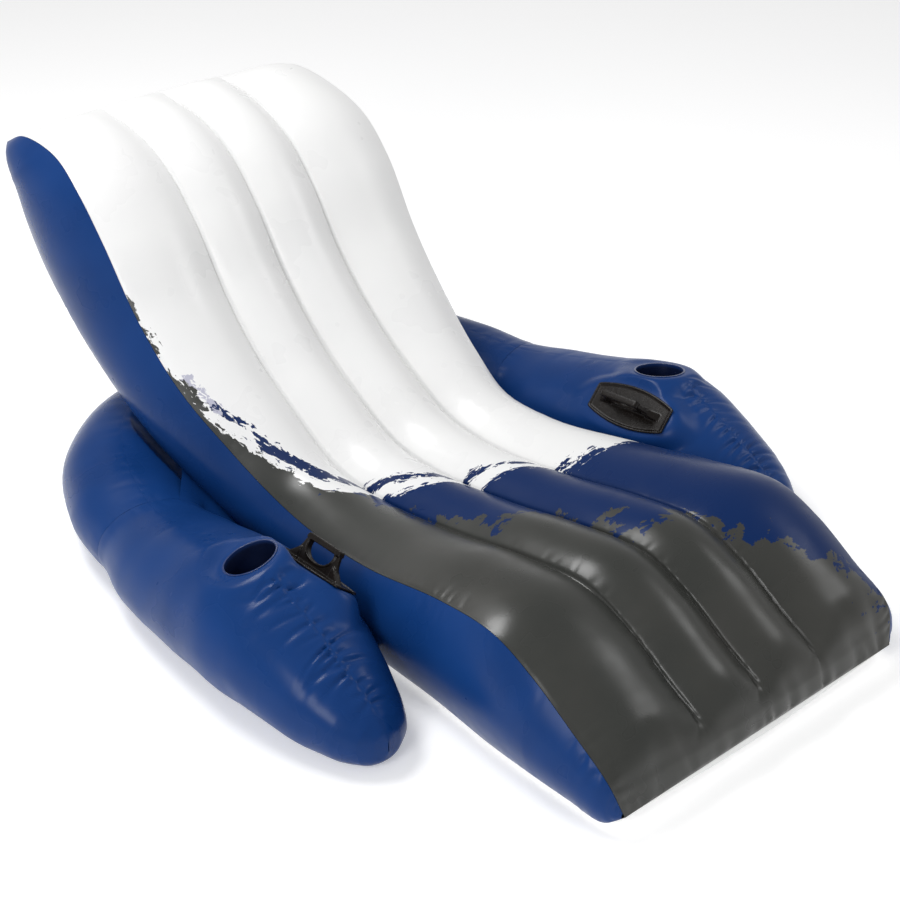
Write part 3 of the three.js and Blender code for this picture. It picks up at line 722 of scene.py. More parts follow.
def channel_places(per_channel):
    """Places across the lounge from 0 to 4 channels, closer together at the seams."""
    t = np.arange(4 * per_channel + 1) / per_channel
    return t - CROWDED * np.sin(math.tau * t) / math.tau


def even_steps(count, values):
    """The values resampled so that a count that grows with them grows by about 1 from each to the next."""
    return np.interp(np.linspace(0, count[-1], int(count[-1])), count, values)


def lounge_shares(step_foot, step_back):
    """Shares of the lounge's length, with a finer step over the foot, where the film puckers most."""
    s = np.linspace(0, 1, 4001)
    length = arc_length(top_weld.at(s)[:, 1:], 0)
    step = lerp(step_foot, step_back, smooth(length, 0.40, 0.75))
    count = np.cumsum(np.gradient(length) / step)
    return even_steps(count - count[0], s)


# Lines of the print, as points (across, along). Across runs from -1 at the left edge to 1 at the right one,
# and along is in metres along the sheet from the foot seam. White lies above the torn line, and navy lies
# above the tide line.
TORN_LINE = ((-1.03, 1.60), (-0.985, 1.46), (-0.965, 1.36), (-0.935, 1.25), (-0.90, 1.16), (-0.845, 1.07),
             (-0.77, 1.0), (-0.65, 0.955), (-0.45, 0.93), (-0.26, 0.87), (0.0, 0.83), (0.2, 0.79),
             (0.45, 0.735), (0.7, 0.715), (1.1, 0.71))
TIDE_LINE = ((-0.66, 1.00), (-0.56, 0.84), (-0.42, 0.745), (-0.25, 0.665), (-0.08, 0.62), (0.04, 0.55),
             (0.15, 0.46), (0.40, 0.42), (0.5, 0.33), (0.62, 0.25), (0.76, 0.17), (1.1, 0.03))
INK_LINE = ((-0.91, 1.30), (-0.86, 1.20), (-0.80, 1.12), (-0.73, 1.05), (-0.62, 1.01), (-0.47, 0.985),
            (-0.3, 0.93), (-0.1, 0.885), (0.08, 0.86), (0.22, 0.815), (0.5, 0.755), (0.66, 0.737),
            (0.8, 0.733))
INK_WIDTHS = (0.002, 0.006, 0.017, 0.017, 0.015, 0.010, 0.011, 0.010, 0.009, 0.006, 0.007, 0.005, 0.000)
HAZE_LINE = ((-0.95, 1.38), (-0.93, 1.33), (-0.91, 1.28))
HAZE_WIDTH = 0.006
NOMINAL_HALF = 0.35  # half the width of the sheet, on which the lines are laid out in metres


def to_line(x, y, line):
    """Signed distance to a line of points, above it positive, and how far along it the nearest point is."""
    points = np.array(line) * (NOMINAL_HALF, 1)
    best = np.full_like(x, 9.0)
    sign, run = np.ones_like(x), np.zeros_like(x)
    start = 0.0
    for p, q in zip(points, points[1:]):
        way = q - p
        length = np.hypot(*way)
        t = np.clip(((x - p[0]) * way[0] + (y - p[1]) * way[1]) / length**2, 0, 1)
        dx, dy = x - p[0] - t * way[0], y - p[1] - t * way[1]
        distance = np.hypot(dx, dy)
        nearer = distance < best
        best = np.where(nearer, distance, best)
        sign = np.where(nearer, np.sign(way[0] * dy - way[1] * dx), sign)
        run = np.where(nearer, start + t * length, run)
        start += length
    return best * sign, run


def print_values(across, along):
    x = across * NOMINAL_HALF
    torn, run = to_line(x, along, TORN_LINE)
    ink, ink_run = to_line(x, along, INK_LINE)
    stops = arc_length(np.array(INK_LINE) * (NOMINAL_HALF, 1), 0)
    ink = np.interp(ink_run, stops, INK_WIDTHS) - np.abs(ink)
    haze = HAZE_WIDTH - np.abs(to_line(x, along, HAZE_LINE)[0])
    tide = to_line(x, along, TIDE_LINE)[0]
    tide = np.where(along > 1.0, np.minimum(tide, -0.05), tide)  # all grey past the end of the tide line
    return {"across": x, "along": along, "torn": torn, "run": run, "ink": ink, "haze": haze, "tide": tide}


# Rows of puckers, in metres: from and to along the weld, spacing, reach, width and depth.
SEAM_PUCKERS = (0.10, 2.02, 0.034, 0.016, 0.0048, 0.0011)
TOP_EDGE_PUCKERS = (
    (0.03, 0.17, 0.027, 0.034, 0.0055, 0.0024),
    (0.17, 0.48, 0.060, 0.024, 0.0060, 0.0010),
    (0.48, 0.66, 0.024, 0.024, 0.0050, 0.0022),
    (0.66, 2.08, 0.040, 0.020, 0.0060, 0.0009),
)
FOOT_PUCKERS = (0.02, 0.72, 0.043, 0.070, 0.0105, 0.0054)
HEAD_PUCKERS = (0.02, 0.70, 0.036, 0.030, 0.006, 0.0014)
UNDER_EDGE_PUCKERS = (0.04, 1.9, 0.034, 0.026, 0.0065, 0.0014)
SIDE_TOP_PUCKERS = (
    (0.03, 0.18, 0.024, 0.036, 0.0055, 0.0030),
    (0.18, 0.50, 0.060, 0.024, 0.0060, 0.0010),
    (0.50, 0.66, 0.026, 0.024, 0.0055, 0.0018),
    (0.66, 2.05, 0.040, 0.020, 0.0065, 0.0008),
)
SIDE_LOW_PUCKERS = (0.04, 2.05, 0.034, 0.028, 0.0065, 0.0014)
SEAMS = (-1, 0, 1)  # the channel seams, counted in gaps from the middle


def seam_details(rng, x, length, foot):
    """Grooves and short puckers along the three channel seams."""
    out = np.zeros_like(x)
    first, last = BEAM_ENDS
    reach = smooth(foot, first - 0.008, first + 0.004) * (1 - smooth(foot, last - 0.004, last + 0.008))
    for seam in SEAMS:
        away = np.abs(x - seam * SEAM_GAP)
        out += reach * groove(away, 0.0032, 0.0030)
        for side in (-1, 1):
            half = np.where((x - seam * SEAM_GAP) * side > 0, 1.0, 0.0)
            pinch = puckers(rng, length, away, SEAM_PUCKERS)
            out += reach * half * pinch * lerp(1.5, 0.7, smooth(length, 0.3, 0.6))
    return out


def seam_ends(rng, x, past_end):
    """The dimple where each seam ends at the foot, with four creases that fan out from it."""
    out = np.zeros_like(x)
    for seam in SEAMS:
        dx = x - seam * SEAM_GAP
        out -= 0.0035 * np.exp(-((dx / 0.008) ** 2) - (past_end / 0.010) ** 2)
        fan = np.hypot(dx, past_end)
        turn = np.arctan2(dx, -past_end)
        faded = np.exp(-((fan / 0.03) ** 2)) * smooth(fan, 0.004, 0.012)
        for angle in rng.uniform(-1.2, 1.2, 4):
            out -= 0.0012 * np.exp(-(((turn - angle) / 0.16) ** 2)) * faded
    return out


def edge_puckers(rng, half, x, length, *rows):
    """Puckers at the welds on the left and right of a sheet."""
    out = np.zeros_like(x)
    for side in (-1, 1):
        out += np.where(x * side > 0, 1.0, 0.0) * puckers(rng, length, np.abs(side * half - x), *rows)
    return out


def from_ends(s):
    return np.minimum(s, 1 - s)


def still_at_edges(half, x, s):
    """Fades to 0 at the welds round a sheet of the lounge."""
    return smooth(half - np.abs(x), 0, 0.006) * smooth(from_ends(s), 0, 0.006)


def normals_towards(axis, points):
    """Normals of a grid, turned so that most of them point to the plus side of an axis."""
    normals = surface_normals(points)
    return normals * (1 if normals[..., axis].sum() > 0 else -1)


def rib_lengths(shares):
    """Metres along the top weld from the foot, one row for each share."""
    return arc_length(top_weld.at(shares)[:, 1:], 0)[:, None]


def make_top_sheet(rng, shares):
    place, s = np.meshgrid(channel_places(34), shares)
    top = top_sheet(place, s)
    x = top[..., 0]
    length = np.broadcast_to(rib_lengths(shares), s.shape)
    half = top_weld.at(s)[..., 0]
    out = seam_details(rng, x, length, s)
    out += seam_ends(rng, x, length - np.interp(BEAM_ENDS[0], shares, length[:, 0]) + 0.004)
    out += edge_puckers(rng, half, x, length, *TOP_EDGE_PUCKERS)
    out += puckers(rng, x + half, length, FOOT_PUCKERS)
    out += puckers(rng, x + half, length[-1, 0] - length, HEAD_PUCKERS)
    out += slack(rng, x, length, 0.22, 0.0022) * smooth(from_ends(s), 0, 0.05)
    top = top + normals_towards(2, top) * (out * still_at_edges(half, x, s))[..., None]
    panel("lounge_top", top, "printed_vinyl", "lounge_top_sheet", values=print_values(x / half, length))


def make_bottom_sheet(rng):
    valve = lounge_valve_seat()
    valve_place, valve_share = LOUNGE_VALVE_SPOT
    places = finer(channel_places(22), valve_place, 0.10, 0.016)
    place, s = np.meshgrid(places, finer(lounge_shares(0.0075, 0.0085), valve_share, 0.0075, 0.0012))
    under = pressed(under_sheet(place, s), valve, *VALVE_FLAT)
    x = under[..., 0]
    length = arc_length(under_weld.at(s)[..., 1:], 0)
    half = under_weld.at(s)[..., 0]
    out = seam_details(rng, x, length, s)
    out += edge_puckers(rng, half, x, length, UNDER_EDGE_PUCKERS)
    out += slack(rng, x, length, 0.2, 0.0012)
    out *= still_at_edges(half, x, s) * smooth(under[..., 2], 0.0, 0.012)
    out *= smooth(np.linalg.norm(into(valve, under), axis=-1), *VALVE_CALM)
    under = above_ground(under - normals_towards(2, under) * out[..., None])
    keep, under = holed(under, valve, VALVE_HOLE)
    panel("lounge_underside", under, "white_vinyl", "lounge_bottom_sheet", keep=keep, flip=True)


def make_beams():
    share, s = np.meshgrid(np.linspace(0, 1, 9), np.linspace(*BEAM_ENDS, 220))
    low, high = under_weld.at(s), top_weld.at(s)
    inset = BEAM_INSET / span(high, low)
    for number, seam in enumerate(SEAMS, 1):
        beam = lerp(low, high, lerp(inset, 1 - inset, share)[..., None])
        beam[..., 0] = seam * SEAM_GAP + VINYL / 2
        panel("beam_%d" % number, beam, "inner_vinyl", "lounge_beam_%d" % number, flip=True)


def make_side_panels(rng, shares):
    share, s = np.meshgrid(np.linspace(0, 1, 40), np.clip(shares, 0.008, 0.992))
    length = np.broadcast_to(rib_lengths(shares), s.shape)
    for name, mirror in SIDES.items():
        points = side_panel(s, share)
        to_top, to_low = span(points, top_weld.at(s)), span(points, under_weld.at(s))
        out = puckers(rng, length, to_top, *SIDE_TOP_PUCKERS)
        out += puckers(rng, length, to_low, SIDE_LOW_PUCKERS)
        out += slack(rng, points[..., 2], length, 0.2, 0.0016) * smooth(np.minimum(to_top, to_low), 0, 0.03)
        out *= smooth(from_ends(s), 0.008, 0.03)
        points = points + normals_towards(0, points) * out[..., None]
        points[..., 0] *= mirror
        panel("lounge_side_" + name, points, "blue_vinyl", "lounge_side_panel_" + name, flip=mirror > 0)


def make_lounge():
    rng = np.random.default_rng(7)
    shares = lounge_shares(0.0040, 0.0085)
    make_top_sheet(rng, shares)
    make_bottom_sheet(rng)
    make_beams()
    make_side_panels(rng, shares)


# ---------------------------------------------------------------- the base

WELD_SLIT = 0.0001  # share of the tube left open at each side of a corner weld
CUP_HOLE = 0.0512
CUP_FLAT = {"inner": 0.060, "outer": 0.104}
CUP_CALM = 0.064  # radius up to which there are no creases round a cup
PLATE_FLAT = {"inner": 0.051, "outer": 0.080, "stretch": 2.0}
PLATE_CALM = 0.058
FLANGE_EDGE = 0.0585  # radius of the groove round the cup's weld

# Rows of puckers, as for the lounge. The rear tube's rows run to its end.
ARM_TOP_PUCKERS = (
    (0.075, 0.385, 0.0205, 0.044, 0.0044, 0.0068),
    (0.56, 0.82, 0.05, 0.030, 0.0060, 0.0014),
)
ARM_LOW_PUCKERS = (0.05, 0.80, 0.030, 0.045, 0.0060, 0.0024)
CORNER_PUCKERS = (0.05, 0.32, 0.042, 0.030, 0.0060, 0.0016)
REAR_TOP_PUCKERS = (0.034, 0.038, 0.0065, 0.0022)
REAR_LOW_PUCKERS = (0.034, 0.040, 0.0065, 0.0024)


def crowded_angles(count, crowd):
    t = np.linspace(0, 1, count)
    return -90 + 180 * (t - crowd * np.sin(math.tau * t) / math.tau)


def seam_distances(points):
    """Metres along the top seam of a panel of the tube, from that seam and from the seam on the ground."""
    from_low = arc_length(points, 1)
    return (arc_length(points, 0)[:, -1:] + 0 * from_low, arc_length(points[:, ::-1], 1)[:, ::-1], from_low)


def tube_slack(rng, along, from_top, from_low, from_end, depth):
    """Grooves at the welds of a panel of the tube, and slack that fades out towards them."""
    from_weld = np.minimum(np.minimum(from_top, from_low), from_end)
    out = groove(from_top, 0.0040, 0.0002) + groove(from_end, 0.0050, 0.0007)
    return out + slack(rng, along, from_top, 0.19, depth) * smooth(from_weld, 0, 0.03)


def displaced(points, side, out, low, high):
    """A panel of the tube moved along its outward normals, by no less than low and no more than high."""
    normals = -side * surface_normals(points)
    return above_ground(points + normals * np.clip(out, low, high)[..., None])


def arm_panel(rng, name, side):
    """The outer (side 1) or inner (side -1) panel of an arm on the right, flat at its cup and handle."""
    cup = cup_seat(name)
    handle = handle_seat(name)
    t = np.linspace(0, 1, 6001)
    crest = np.column_stack([tube_path.at(t * CORNER)[:, :2], tube_heights.at(t * CORNER)[:, 0]])
    path = arc_length(crest, 0)
    step = lerp(0.0030, 0.0075, smooth(path, 0.40, 0.60))
    alongs = even_steps(np.cumsum(np.gradient(path) / step), t) * (CORNER - WELD_SLIT)
    angle, along = np.meshgrid(crowded_angles(96, 0.62), alongs)
    points = tube_point(along, angle, side)
    points = pressed(points, handle, **PLATE_FLAT)
    points = pressed(points, cup, **CUP_FLAT)
    points = pressed(points, handle, **PLATE_FLAT, raises=False)

    seam, from_top, from_low = seam_distances(points)
    to_corner = seam[-1:] - seam
    out = puckers(rng, seam, from_top, *ARM_TOP_PUCKERS)
    out += puckers(rng, seam, from_low, ARM_LOW_PUCKERS)
    out += puckers(rng, from_low, to_corner, CORNER_PUCKERS)
    out += tube_slack(rng, seam, from_top, from_low, to_corner, 0.0034)
    flat = np.zeros_like(out)
    for place, reach, stretch in ((cup, CUP_CALM, 1.0), (handle, PLATE_CALM, 2.2)):
        local = into(place, points)
        radius = np.hypot(local[..., 0] / stretch, local[..., 1])
        near = 1 - smooth(np.abs(local[..., 2]), 0.03, 0.06)
        flat = np.maximum(flat, near * (1 - smooth(radius, reach, reach + 0.022)))
        if place is cup:
            out += near * groove(radius - FLANGE_EDGE, 0.0022, 0.0007) / np.maximum(1 - flat, 1e-3)
    out *= (1 - flat) * smooth(points[..., 2], 0.002, 0.02) * smooth(seam, 0, 0.03)
    return holed(displaced(points, side, out, -0.007, 0.004), cup, CUP_HOLE)


def holed(points, place, radius):
    """Opens a round hole in a panel: which quads stay, and the points with those at the rim on the circle."""
    local = into(place, points)
    middle = (local[:-1, :-1] + local[1:, :-1] + local[1:, 1:] + local[:-1, 1:]) / 4
    keep = (np.hypot(middle[..., 0], middle[..., 1]) > radius) | (np.abs(middle[..., 2]) > 0.02)
    touch = np.zeros((2,) + points.shape[:2], bool)
    for k, chosen in enumerate((keep, ~keep)):
        for dr in (slice(0, -1), slice(1, None)):
            for dc in (slice(0, -1), slice(1, None)):
                touch[k][dr, dc] |= chosen
    rim = touch[0] & touch[1]
    size = np.hypot(local[..., 0], local[..., 1])
    scale = np.where(rim, radius / np.maximum(size, 1e-6), 1)
    local[..., :2] *= scale[..., None]
    return keep, out_of(place, local)


SIDE_WEB_SHARES = (10 / 28, 16.3 / 28)  # shares of the lounge's length between which a side web runs
SIDE_WEB_HEIGHT = 0.25  # share of the lounge's side at which it is welded
WEB_WELD = 0.001  # how far it goes into the welds at both its edges


def make_arm(name, mirror, seed):
    rng = np.random.default_rng(seed)
    for side, word in ((1, "outer"), (-1, "inner")):
        keep, points = arm_panel(rng, name, side)
        points[..., 0] *= mirror
        node = "%s_arm_%s_panel" % (name, word)
        panel("arm_%s_%s" % (word, name), points, "blue_vinyl", node, keep=keep, flip=side * mirror > 0)
    make_cup(name, mirror)
    make_handle(name, mirror)
    make_side_web(name, mirror)


def make_side_web(name, mirror):
    """The web between the lounge's side and the inner panel of the arm."""
    s = np.linspace(*SIDE_WEB_SHARES, 60)
    rows = []
    for start in side_panel(s, np.full_like(s, SIDE_WEB_HEIGHT)):
        along = tube_place(1, start[1])
        top, base, _ = tube_heights.at(along)
        height = min(2 * (start[2] - base) / (top - base) - 1, 1)
        end = tube_point(np.array(along), np.array(math.degrees(math.asin(height))), -1)
        inset = -WEB_WELD / (end[0] - start[0])
        rows.append([lerp(start, end, k) for k in np.linspace(inset, 1 - inset, 9)])
    web = np.array(rows)
    web[..., 0] *= mirror
    panel("side_web_" + name, web, "blue_vinyl", name + "_joining_web", flip=mirror < 0)


def make_cup(name, mirror):
    """The well of thin film, whose rim is a small bead on the arm, and the disc welded into its foot."""
    radius, wall, depth = CUP["radius"], CUP["wall"], CUP["depth"]
    outside, bead = radius + wall, radius + 0.0034
    side = [[radius - 0.0012 * math.sin(math.pi * t), lerp(-depth, -0.001, t)] for t in np.linspace(0, 1, 16)]
    profile = [*side, [radius, 0.0016], [bead, 0.0016], [bead, 0.0003], [outside, 0.0003], [outside, -depth]]
    well = lathe("cup_well_" + name, rounded(profile, [0] * 16 + [0.0009, 0.0009, 0.0004, 0, 0]), 96)
    # the top 4 mm of the well are its rim and keep the arm's blue; the rest of the well is painted dark as
    # shade
    rim = well.data.attributes.new("rim", "FLOAT", "POINT")
    height = np.array([v.co.z for v in well.data.vertices])
    rim.data.foreach_set("value", smooth(height, -0.004, 0.0).astype(np.float32))
    low, sunk = -depth - 0.0004, radius - 0.006
    disc = [[0, low - 0.0012], [sunk, low - 0.0012], [radius - 0.004, low - wall], [outside, low - wall],
            [outside, low], [radius - 0.0035, low], [sunk, low - 0.0004], [0, low - 0.0004]]
    floor = lathe("cup_floor_" + name, disc, 96)
    for piece, word in ((well, "wall"), (floor, "floor")):
        place_by(piece, cup_seat(name), mirror)
        finish_piece(piece, "cup_vinyl", "root", "%s_cup_%s" % (name, word))


def prism(outline, low, high, axis, hole=None):
    """Vertices and faces of an outline drawn out along an axis, with a hole that has as many points."""
    outline = np.asarray(outline, float)
    count = len(outline)
    loops = [outline] + ([np.asarray(hole, float)] if hole is not None else [])
    vertices = []
    for level in (low, high):
        for loop in loops:
            vertices += [(x, -level, y) if axis == "y" else (x, y, level) for x, y in loop]
    layer = count * len(loops)
    ring = [(k, (k + 1) % count) for k in range(count)]
    faces = [(a, b, b + layer, a + layer) for a, b in ring]
    if hole is None:
        faces += [tuple(range(count))[::-1], tuple(range(layer, layer + count))]
    else:
        faces += [(a + count + layer, b + count + layer, b + count, a + count) for a, b in ring]
        faces += [(a, a + count, b + count, b) for a, b in ring]
        faces += [(a + layer, b + layer, b + count + layer, a + count + layer) for a, b in ring]
    return vertices, faces


def resampled(outline, count, start):
    """The closed outline as so many evenly spaced points, counterclockwise, from the one nearest to start."""
    outline = np.asarray(outline, float)
    nearest = np.hypot(*(outline - start).T).argmin()
    closed = np.vstack([np.roll(outline, -nearest, 0), outline[nearest]])
    length = arc_length(closed, 0)
    at = np.linspace(0, length[-1], count, endpoint=False)
    return np.column_stack([np.interp(at, length, closed[:, k]) for k in range(2)])


def offset(outline, distance):
    """The counterclockwise outline moved outwards."""
    way = np.roll(outline, -1, 0) - np.roll(outline, 1, 0)
    way = unit(way)
    return outline + np.column_stack([way[:, 1], -way[:, 0]]) * distance


def bezier(*control):
    t = np.linspace(0, 1, 17)[:-1, None]
    points = [np.array(c, float) for c in control]
    if len(points) == 2:
        return lerp(points[0], points[1], t)
    if len(points) == 3:
        return (1 - t) ** 2 * points[0] + 2 * t * (1 - t) * points[1] + t * t * points[2]
    a, b, c, d = points
    return (1 - t) ** 3 * a + 3 * t * (1 - t) ** 2 * b + 3 * t * t * (1 - t) * c + t**3 * d


def mirrored(*right):
    """Spans of an outline: those on the right from below, one across, and the same ones down the left."""
    left = [[(-x, y) for x, y in control[::-1]] for control in right[::-1]]
    across = (right[-1][-1], left[0][0])
    return np.vstack([bezier(*control) for control in (*right, across, *left)])


def plate_outline():
    """The barrel-shaped outline of the handle's plate."""
    x, y = HANDLE["length"] / 2, HANDLE["end_width"] / 2
    bow = HANDLE["width"] - y
    plate = np.vstack([bezier((-x, -y), (0, -bow), (x, -y)), bezier((x, -y), (x, y)),
                       bezier((x, y), (0, bow), (-x, y)), bezier((-x, y), (-x, -y))])
    plate = rounded(resampled(plate, 96, (-x, -y)), 0.004, 2)
    return resampled(plate, 96, (-x, -y))


def make_handle(name, mirror):
    """One moulding: a plate with a raised rim, and a loop on flared feet with a beaded gap."""
    plate = plate_outline()
    parts = [prism(plate, 0.0004, 0.0030, "z"), prism(plate, 0.0004, 0.0050, "z", offset(plate, -0.0055))]

    foot, top, height, shoulder = 0.073, 0.049, 0.056, 0.034
    outer = np.vstack([bezier((-foot, 0.002), (foot, 0.002)),
                       mirrored([(foot, 0.002), (top + 0.012, 0.012), (top + 0.003, shoulder)],
                                [(top + 0.003, shoulder), (top, height), (top - 0.016, height)])])
    half, low, high = 0.037, 0.014, 0.0455
    gap = mirrored([(0, low), (half * 0.62, low), (half, low + 0.008), (half, high - 0.006)],
                   [(half, high - 0.006), (half, high), (half - 0.006, high)])
    outer, gap = (resampled(outline, 128, (0, 0)) for outline in (outer, gap))
    parts.append(prism(outer, -0.0042, 0.0042, "y", gap))
    parts.append(prism(offset(gap, 0.0042), -0.0066, 0.0066, "y", gap))
    grip = [(-0.050, high - 0.001), (0.050, high - 0.001), (0.047, height), (-0.047, height)]
    parts.append(prism(resampled(rounded(grip, 0.004), 64, (0, 0)), -0.0072, 0.0072, "y"))
    spread_foot = [(0.046, 0.002), (0.079, 0.002), (0.0555, 0.022), (0.047, 0.026)]
    for sign in (-1, 1):
        parts.append(prism([(sign * x, y) for x, y in spread_foot][::sign], -0.0075, 0.0075, "y"))

    rough = new_object("handle_rough", new_mesh("handle_rough", *joined(parts)))
    remesh = rough.modifiers.new("remesh", "REMESH")
    remesh.mode = "VOXEL"
    remesh.voxel_size = 0.0011
    soften = rough.modifiers.new("soften", "SMOOTH")
    soften.factor = 0.5
    soften.iterations = 12
    handle = evaluated(rough, "handle_" + name)
    handle.data.shade_smooth()
    place_by(handle, handle_seat(name), mirror)
    finish_piece(handle, "handle_plastic", "root", name + "_handle")


def make_rear_tube():
    rng = np.random.default_rng(31)
    start = CORNER + WELD_SLIT
    alongs = finer(np.linspace(start, 1 - start, 190), 0.5, 0.009, 0.0009)
    angles = crowded_angles(72, 0.5)
    valve = base_valve_seat()
    for side, word in ((1, "outer"), (-1, "inner")):
        has_valve = side > 0
        angle, along = np.meshgrid(finer(angles, BASE_VALVE_ANGLE, 9, 0.8) if has_valve else angles, alongs)
        points = tube_point(along, angle, side)
        if has_valve:
            points = pressed(points, valve, *VALVE_FLAT)
        length, from_top, from_low = seam_distances(points)
        end = length[-1, 0]
        from_end = np.minimum(length, length[-1:] - length)
        out = puckers(rng, length, from_top, (0.03, end, *REAR_TOP_PUCKERS))
        out += puckers(rng, length, from_low, (0.03, end, *REAR_LOW_PUCKERS))
        out += puckers(rng, from_low, from_end, CORNER_PUCKERS)
        out += tube_slack(rng, length, from_top, from_low, from_end, 0.0030)
        if has_valve:
            out *= smooth(np.linalg.norm(into(valve, points), axis=-1), *VALVE_CALM)
        points = displaced(points, side, out * smooth(points[..., 2], 0.002, 0.02), -0.006, 0.003)
        keep, points = holed(points, valve, VALVE_HOLE) if has_valve else (None, points)
        node = "rear_tube_%s_panel" % word
        panel("rear_tube_" + word, points, "blue_vinyl", node, keep=keep, flip=has_valve)


REAR_WEB_SHARE = 17 / 28  # share of the lounge's length at which the rear web hangs from its back
REAR_WEB_ANGLE = 20.0  # where it meets the rear tube, degrees above the widest part
REAR_WEB_GAP = 0.002


def make_rear_web():
    s = np.array(REAR_WEB_SHARE)
    weld = under_weld.at(s)
    crest = weld + square_to(under_weld, s, -1) * BACK_RISE
    rows = []
    for share in np.linspace(-0.75, 0.75, 48):
        begin = np.array([share * weld[0], crest[1], crest[2]])
        along = tube_place(0, begin[0], 1 - CORNER, CORNER)
        end = tube_point(np.array(along), np.array(REAR_WEB_ANGLE), -1)
        inset = REAR_WEB_GAP / np.linalg.norm(end - begin)
        rows.append([lerp(begin, end, k) for k in np.linspace(inset, 1 - inset, 7)])
    panel("rear_web", np.array(rows), "blue_vinyl", "rear_joining_web")


# ---------------------------------------------------------------- valves

def finer(samples, centre, reach, step):
    """The samples with a finer step round one value."""
    kept = samples[np.abs(samples - centre) > reach]
    added = centre + step * (np.arange(-int(reach / step), int(reach / step)) + 0.5)
    return np.sort(np.concatenate([kept, added]))


def lounge_valve_seat():
    place, s = (np.array(v) for v in LOUNGE_VALVE_SPOT)
    step = 0.004
    along = under_sheet(place, s + step) - under_sheet(place, s - step)
    return seat(under_sheet(place, s), np.cross(along, (1.0, 0, 0)), (1, 0, 0))


def base_valve_seat():
    middle, angle = np.array(0.5), np.array(BASE_VALVE_ANGLE)
    up = tube_point(middle, angle + 0.7, 1) - tube_point(middle, angle - 0.7, 1)
    return seat(tube_point(middle, angle, 1), np.cross(up, (1.0, 0, 0)) * (1 if up[2] > 0 else -1), (1, 0, 0))


# Outlines of a valve's pieces in millimetres, about its seat: radius and height.
STEM = [[3.9, -8], [6.5, -8], [6.5, -3.3], [16, -3.3], [16, -2.3], [6.5, -2.3], [6.5, 0.2], [11.5, 0.2],
        [11.5, 0.9], [7.4, 1.0], [6.4, 1.6], [6.4, 9.0], [6.9, 9.2], [6.9, 10], [3.9, 10]]
STOPPER = [[0, 2.5], [2.7, 2.5], [3.5, 4.0], [3.5, 10.3], [8, 10.3], [8, 12.4], [6.2, 12.4], [5.4, 11.8],
           [0, 11.6]]
FLAP = [[0, -9], [5, -9], [5.2, -8.8], [5.2, -8.4], [0, -8.4]]
TETHER_RING = [[6.9, 1.2], [9.1, 1.2], [9.1, 2.8], [6.9, 2.8]]
TETHER_ROUTE = [(8.3, 0, 2), (13.1, 0, 2.4), (16.1, 0, 6), (13.6, 0, 10.8), (8.4, 0, 11.4)]
TETHER_SECTION = [(-2, -0.45), (2, -0.45), (2, 0.45), (-2, 0.45)]


def make_tether(name):
    """A flat strap along its route, with the ring that sits on the stem."""
    ring = turned(rounded(TETHER_RING, 0.4) / 1000, 48)
    route = Curve(np.array(TETHER_ROUTE) / 1000)
    t = np.linspace(0, 1, 33)
    across = np.array([0, 1.0, 0])
    up = unit(np.cross(route.tangent(np.clip(t, 0.01, 0.99)), across))
    section = rounded(TETHER_SECTION, 0.25, 2) / 1000
    vertices = [tuple(c + across * a + u * b) for c, u in zip(route.at(t), up) for a, b in section]
    n, last = len(section), len(t) - 1
    faces = [(r * n + k, r * n + (k + 1) % n, (r + 1) * n + (k + 1) % n, (r + 1) * n + k)
             for r in range(last) for k in range(n)]
    faces += [tuple(range(n))[::-1], tuple(range(last * n, len(vertices)))]
    return new_object(name, new_mesh(name, *joined([ring, (vertices, faces)])))


def make_valve(name, matrix):
    """Stem, check flap, stopper and the tether between stem and stopper."""
    key = name.replace("_valve", "")
    pieces = {
        "stem": (lathe(name + "_stem_piece", rounded(STEM, 0.25) / 1000, 48), "root"),
        "stopper": (lathe(name + "_stopper_piece", np.array(STOPPER) / 1000, 48), key + "_stopper"),
        "flap": (lathe(name + "_flap_piece", np.array(FLAP) / 1000, 40), key + "_flap"),
        "tether": (make_tether(name + "_tether_piece"), None),
    }
    for word, (piece, body) in pieces.items():
        finish_piece(place_by(piece, matrix), "clear_vinyl", body, "%s_%s" % (name, word))
    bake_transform(pieces["tether"][0])


make_lounge()
make_rear_tube()
make_rear_web()
for seed, (name, mirror) in enumerate(SIDES.items(), 11):
    make_arm(name, mirror, seed)
make_valve("lounge_valve", lounge_valve_seat())
make_valve("base_valve", base_valve_seat())

# ---------------------------------------------------------------- camera, light and floor

CAMERA = {"place": (-2.1159, -2.4230 - MIDDLE, 2.0571), "lens": 74.0, "yaw": 47.92, "fall": 29.93}
FLOOR_SIZE = 14.0
FLOOR_GLOW = 0.34
HORIZON = 0.88  # light from the white backdrop all round
ZENITH = 0.46
HORIZON_BAND = (0.02, 0.32)  # heights between which the one gives way to the other
LIGHTS = (  # name, place, target, sides of the panel and power in watts
    ("key", (-0.9, 1.4, 3.3), (0, 0.1, 0.2), (1.3, 1.1), 68),
    ("fill", (-3.0, -1.4, 1.9), (0, -0.2, 0.2), (1.2, 1.0), 38),
    ("rim", (2.6, -1.6, 2.6), (0.1, 0, 0.3), (1.4, 1.2), 20),
)


def aimed(name, data, place, way):
    """A camera or light that looks along a way from its place."""
    thing = bpy.data.objects.new(name, data)
    thing.location = place
    thing.rotation_euler = way.to_track_quat("-Z", "Y").to_euler()
    bpy.context.scene.collection.objects.link(thing)
    return thing


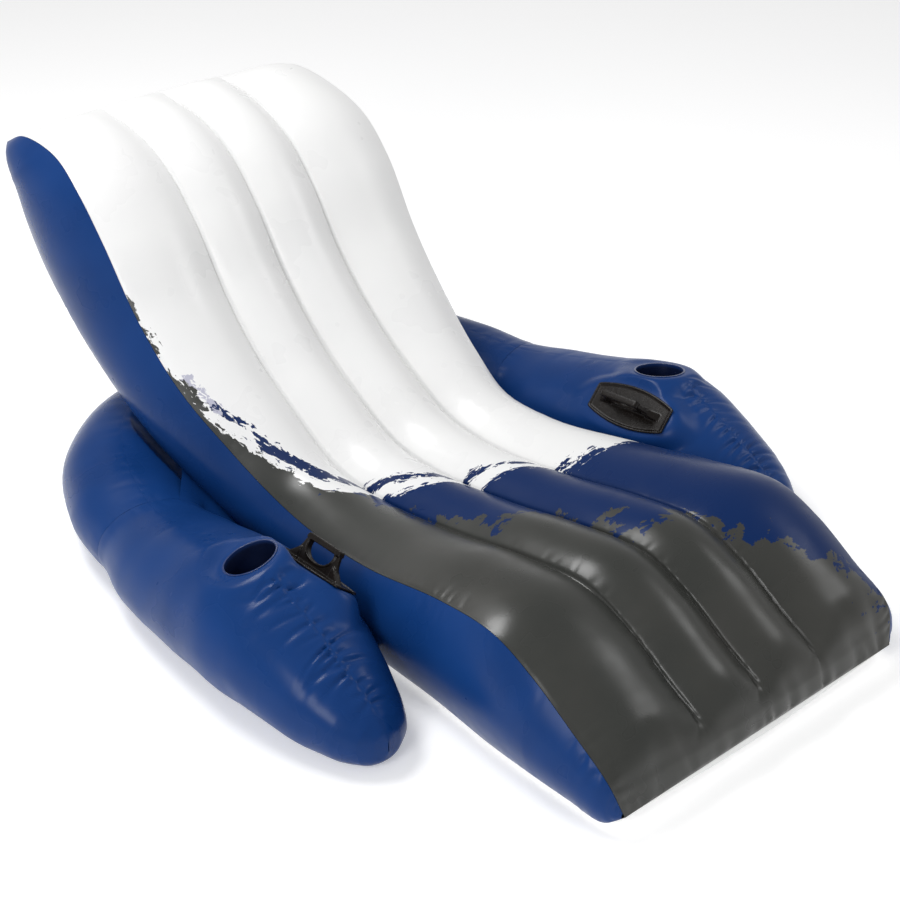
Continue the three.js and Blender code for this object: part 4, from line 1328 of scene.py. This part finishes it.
def make_camera():
    data = bpy.data.cameras.new("camera")
    data.lens = CAMERA["lens"]
    data.sensor_width = 36.0
    yaw, fall = math.radians(CAMERA["yaw"]), math.radians(CAMERA["fall"])
    look = Vector((math.cos(yaw) * math.cos(fall), math.sin(yaw) * math.cos(fall), -math.sin(fall)))
    bpy.context.scene.camera = aimed("camera", data, CAMERA["place"], look)


def make_floor():
    corners = [(x * FLOOR_SIZE, y * FLOOR_SIZE, 0) for x, y in ((-1, -1), (1, -1), (1, 1), (-1, 1))]
    floor = new_object("floor", new_mesh("floor", corners, [(0, 1, 2, 3)]))
    nodes = Nodes("studio_floor")
    tone = nodes.noise(nodes.place(), 0.6, 2.0)
    nodes.set(Base_Color=nodes.mix(tone, (0.84, 0.84, 0.845, 1), (0.87, 0.87, 0.87, 1)), Roughness=0.85)
    nodes.set(Emission_Color=(1, 1, 1, 1), Emission_Strength=FLOOR_GLOW)
    floor.data.materials.append(nodes.material)


def make_lights():
    for name, place, target, size, power in LIGHTS:
        data = bpy.data.lights.new(name, "AREA")
        data.shape = "RECTANGLE"
        data.size, data.size_y = size
        data.energy = power
        aimed(name, data, place, Vector(target) - Vector(place))


def make_world():
    """An even white backdrop, dimmer overhead."""
    world = bpy.data.worlds.new("studio")
    world.use_nodes = True
    tree = world.node_tree
    place = tree.nodes.new("ShaderNodeTexCoord")
    split = tree.nodes.new("ShaderNodeSeparateXYZ")
    fade = tree.nodes.new("ShaderNodeMapRange")
    fade.interpolation_type = "SMOOTHSTEP"
    for key, value in zip(("From Min", "From Max", "To Min", "To Max"), (*HORIZON_BAND, HORIZON, ZENITH)):
        fade.inputs[key].default_value = value
    tree.links.new(place.outputs["Generated"], split.inputs[0])
    tree.links.new(split.outputs["Z"], fade.inputs["Value"])
    tree.links.new(fade.outputs["Result"], tree.nodes["Background"].inputs["Strength"])
    tree.nodes["Background"].inputs["Color"].default_value = (1, 1, 1, 1)
    bpy.context.scene.world = world
    bpy.context.scene.view_settings.view_transform = "Standard"


make_camera()
make_floor()
make_lights()
make_world()
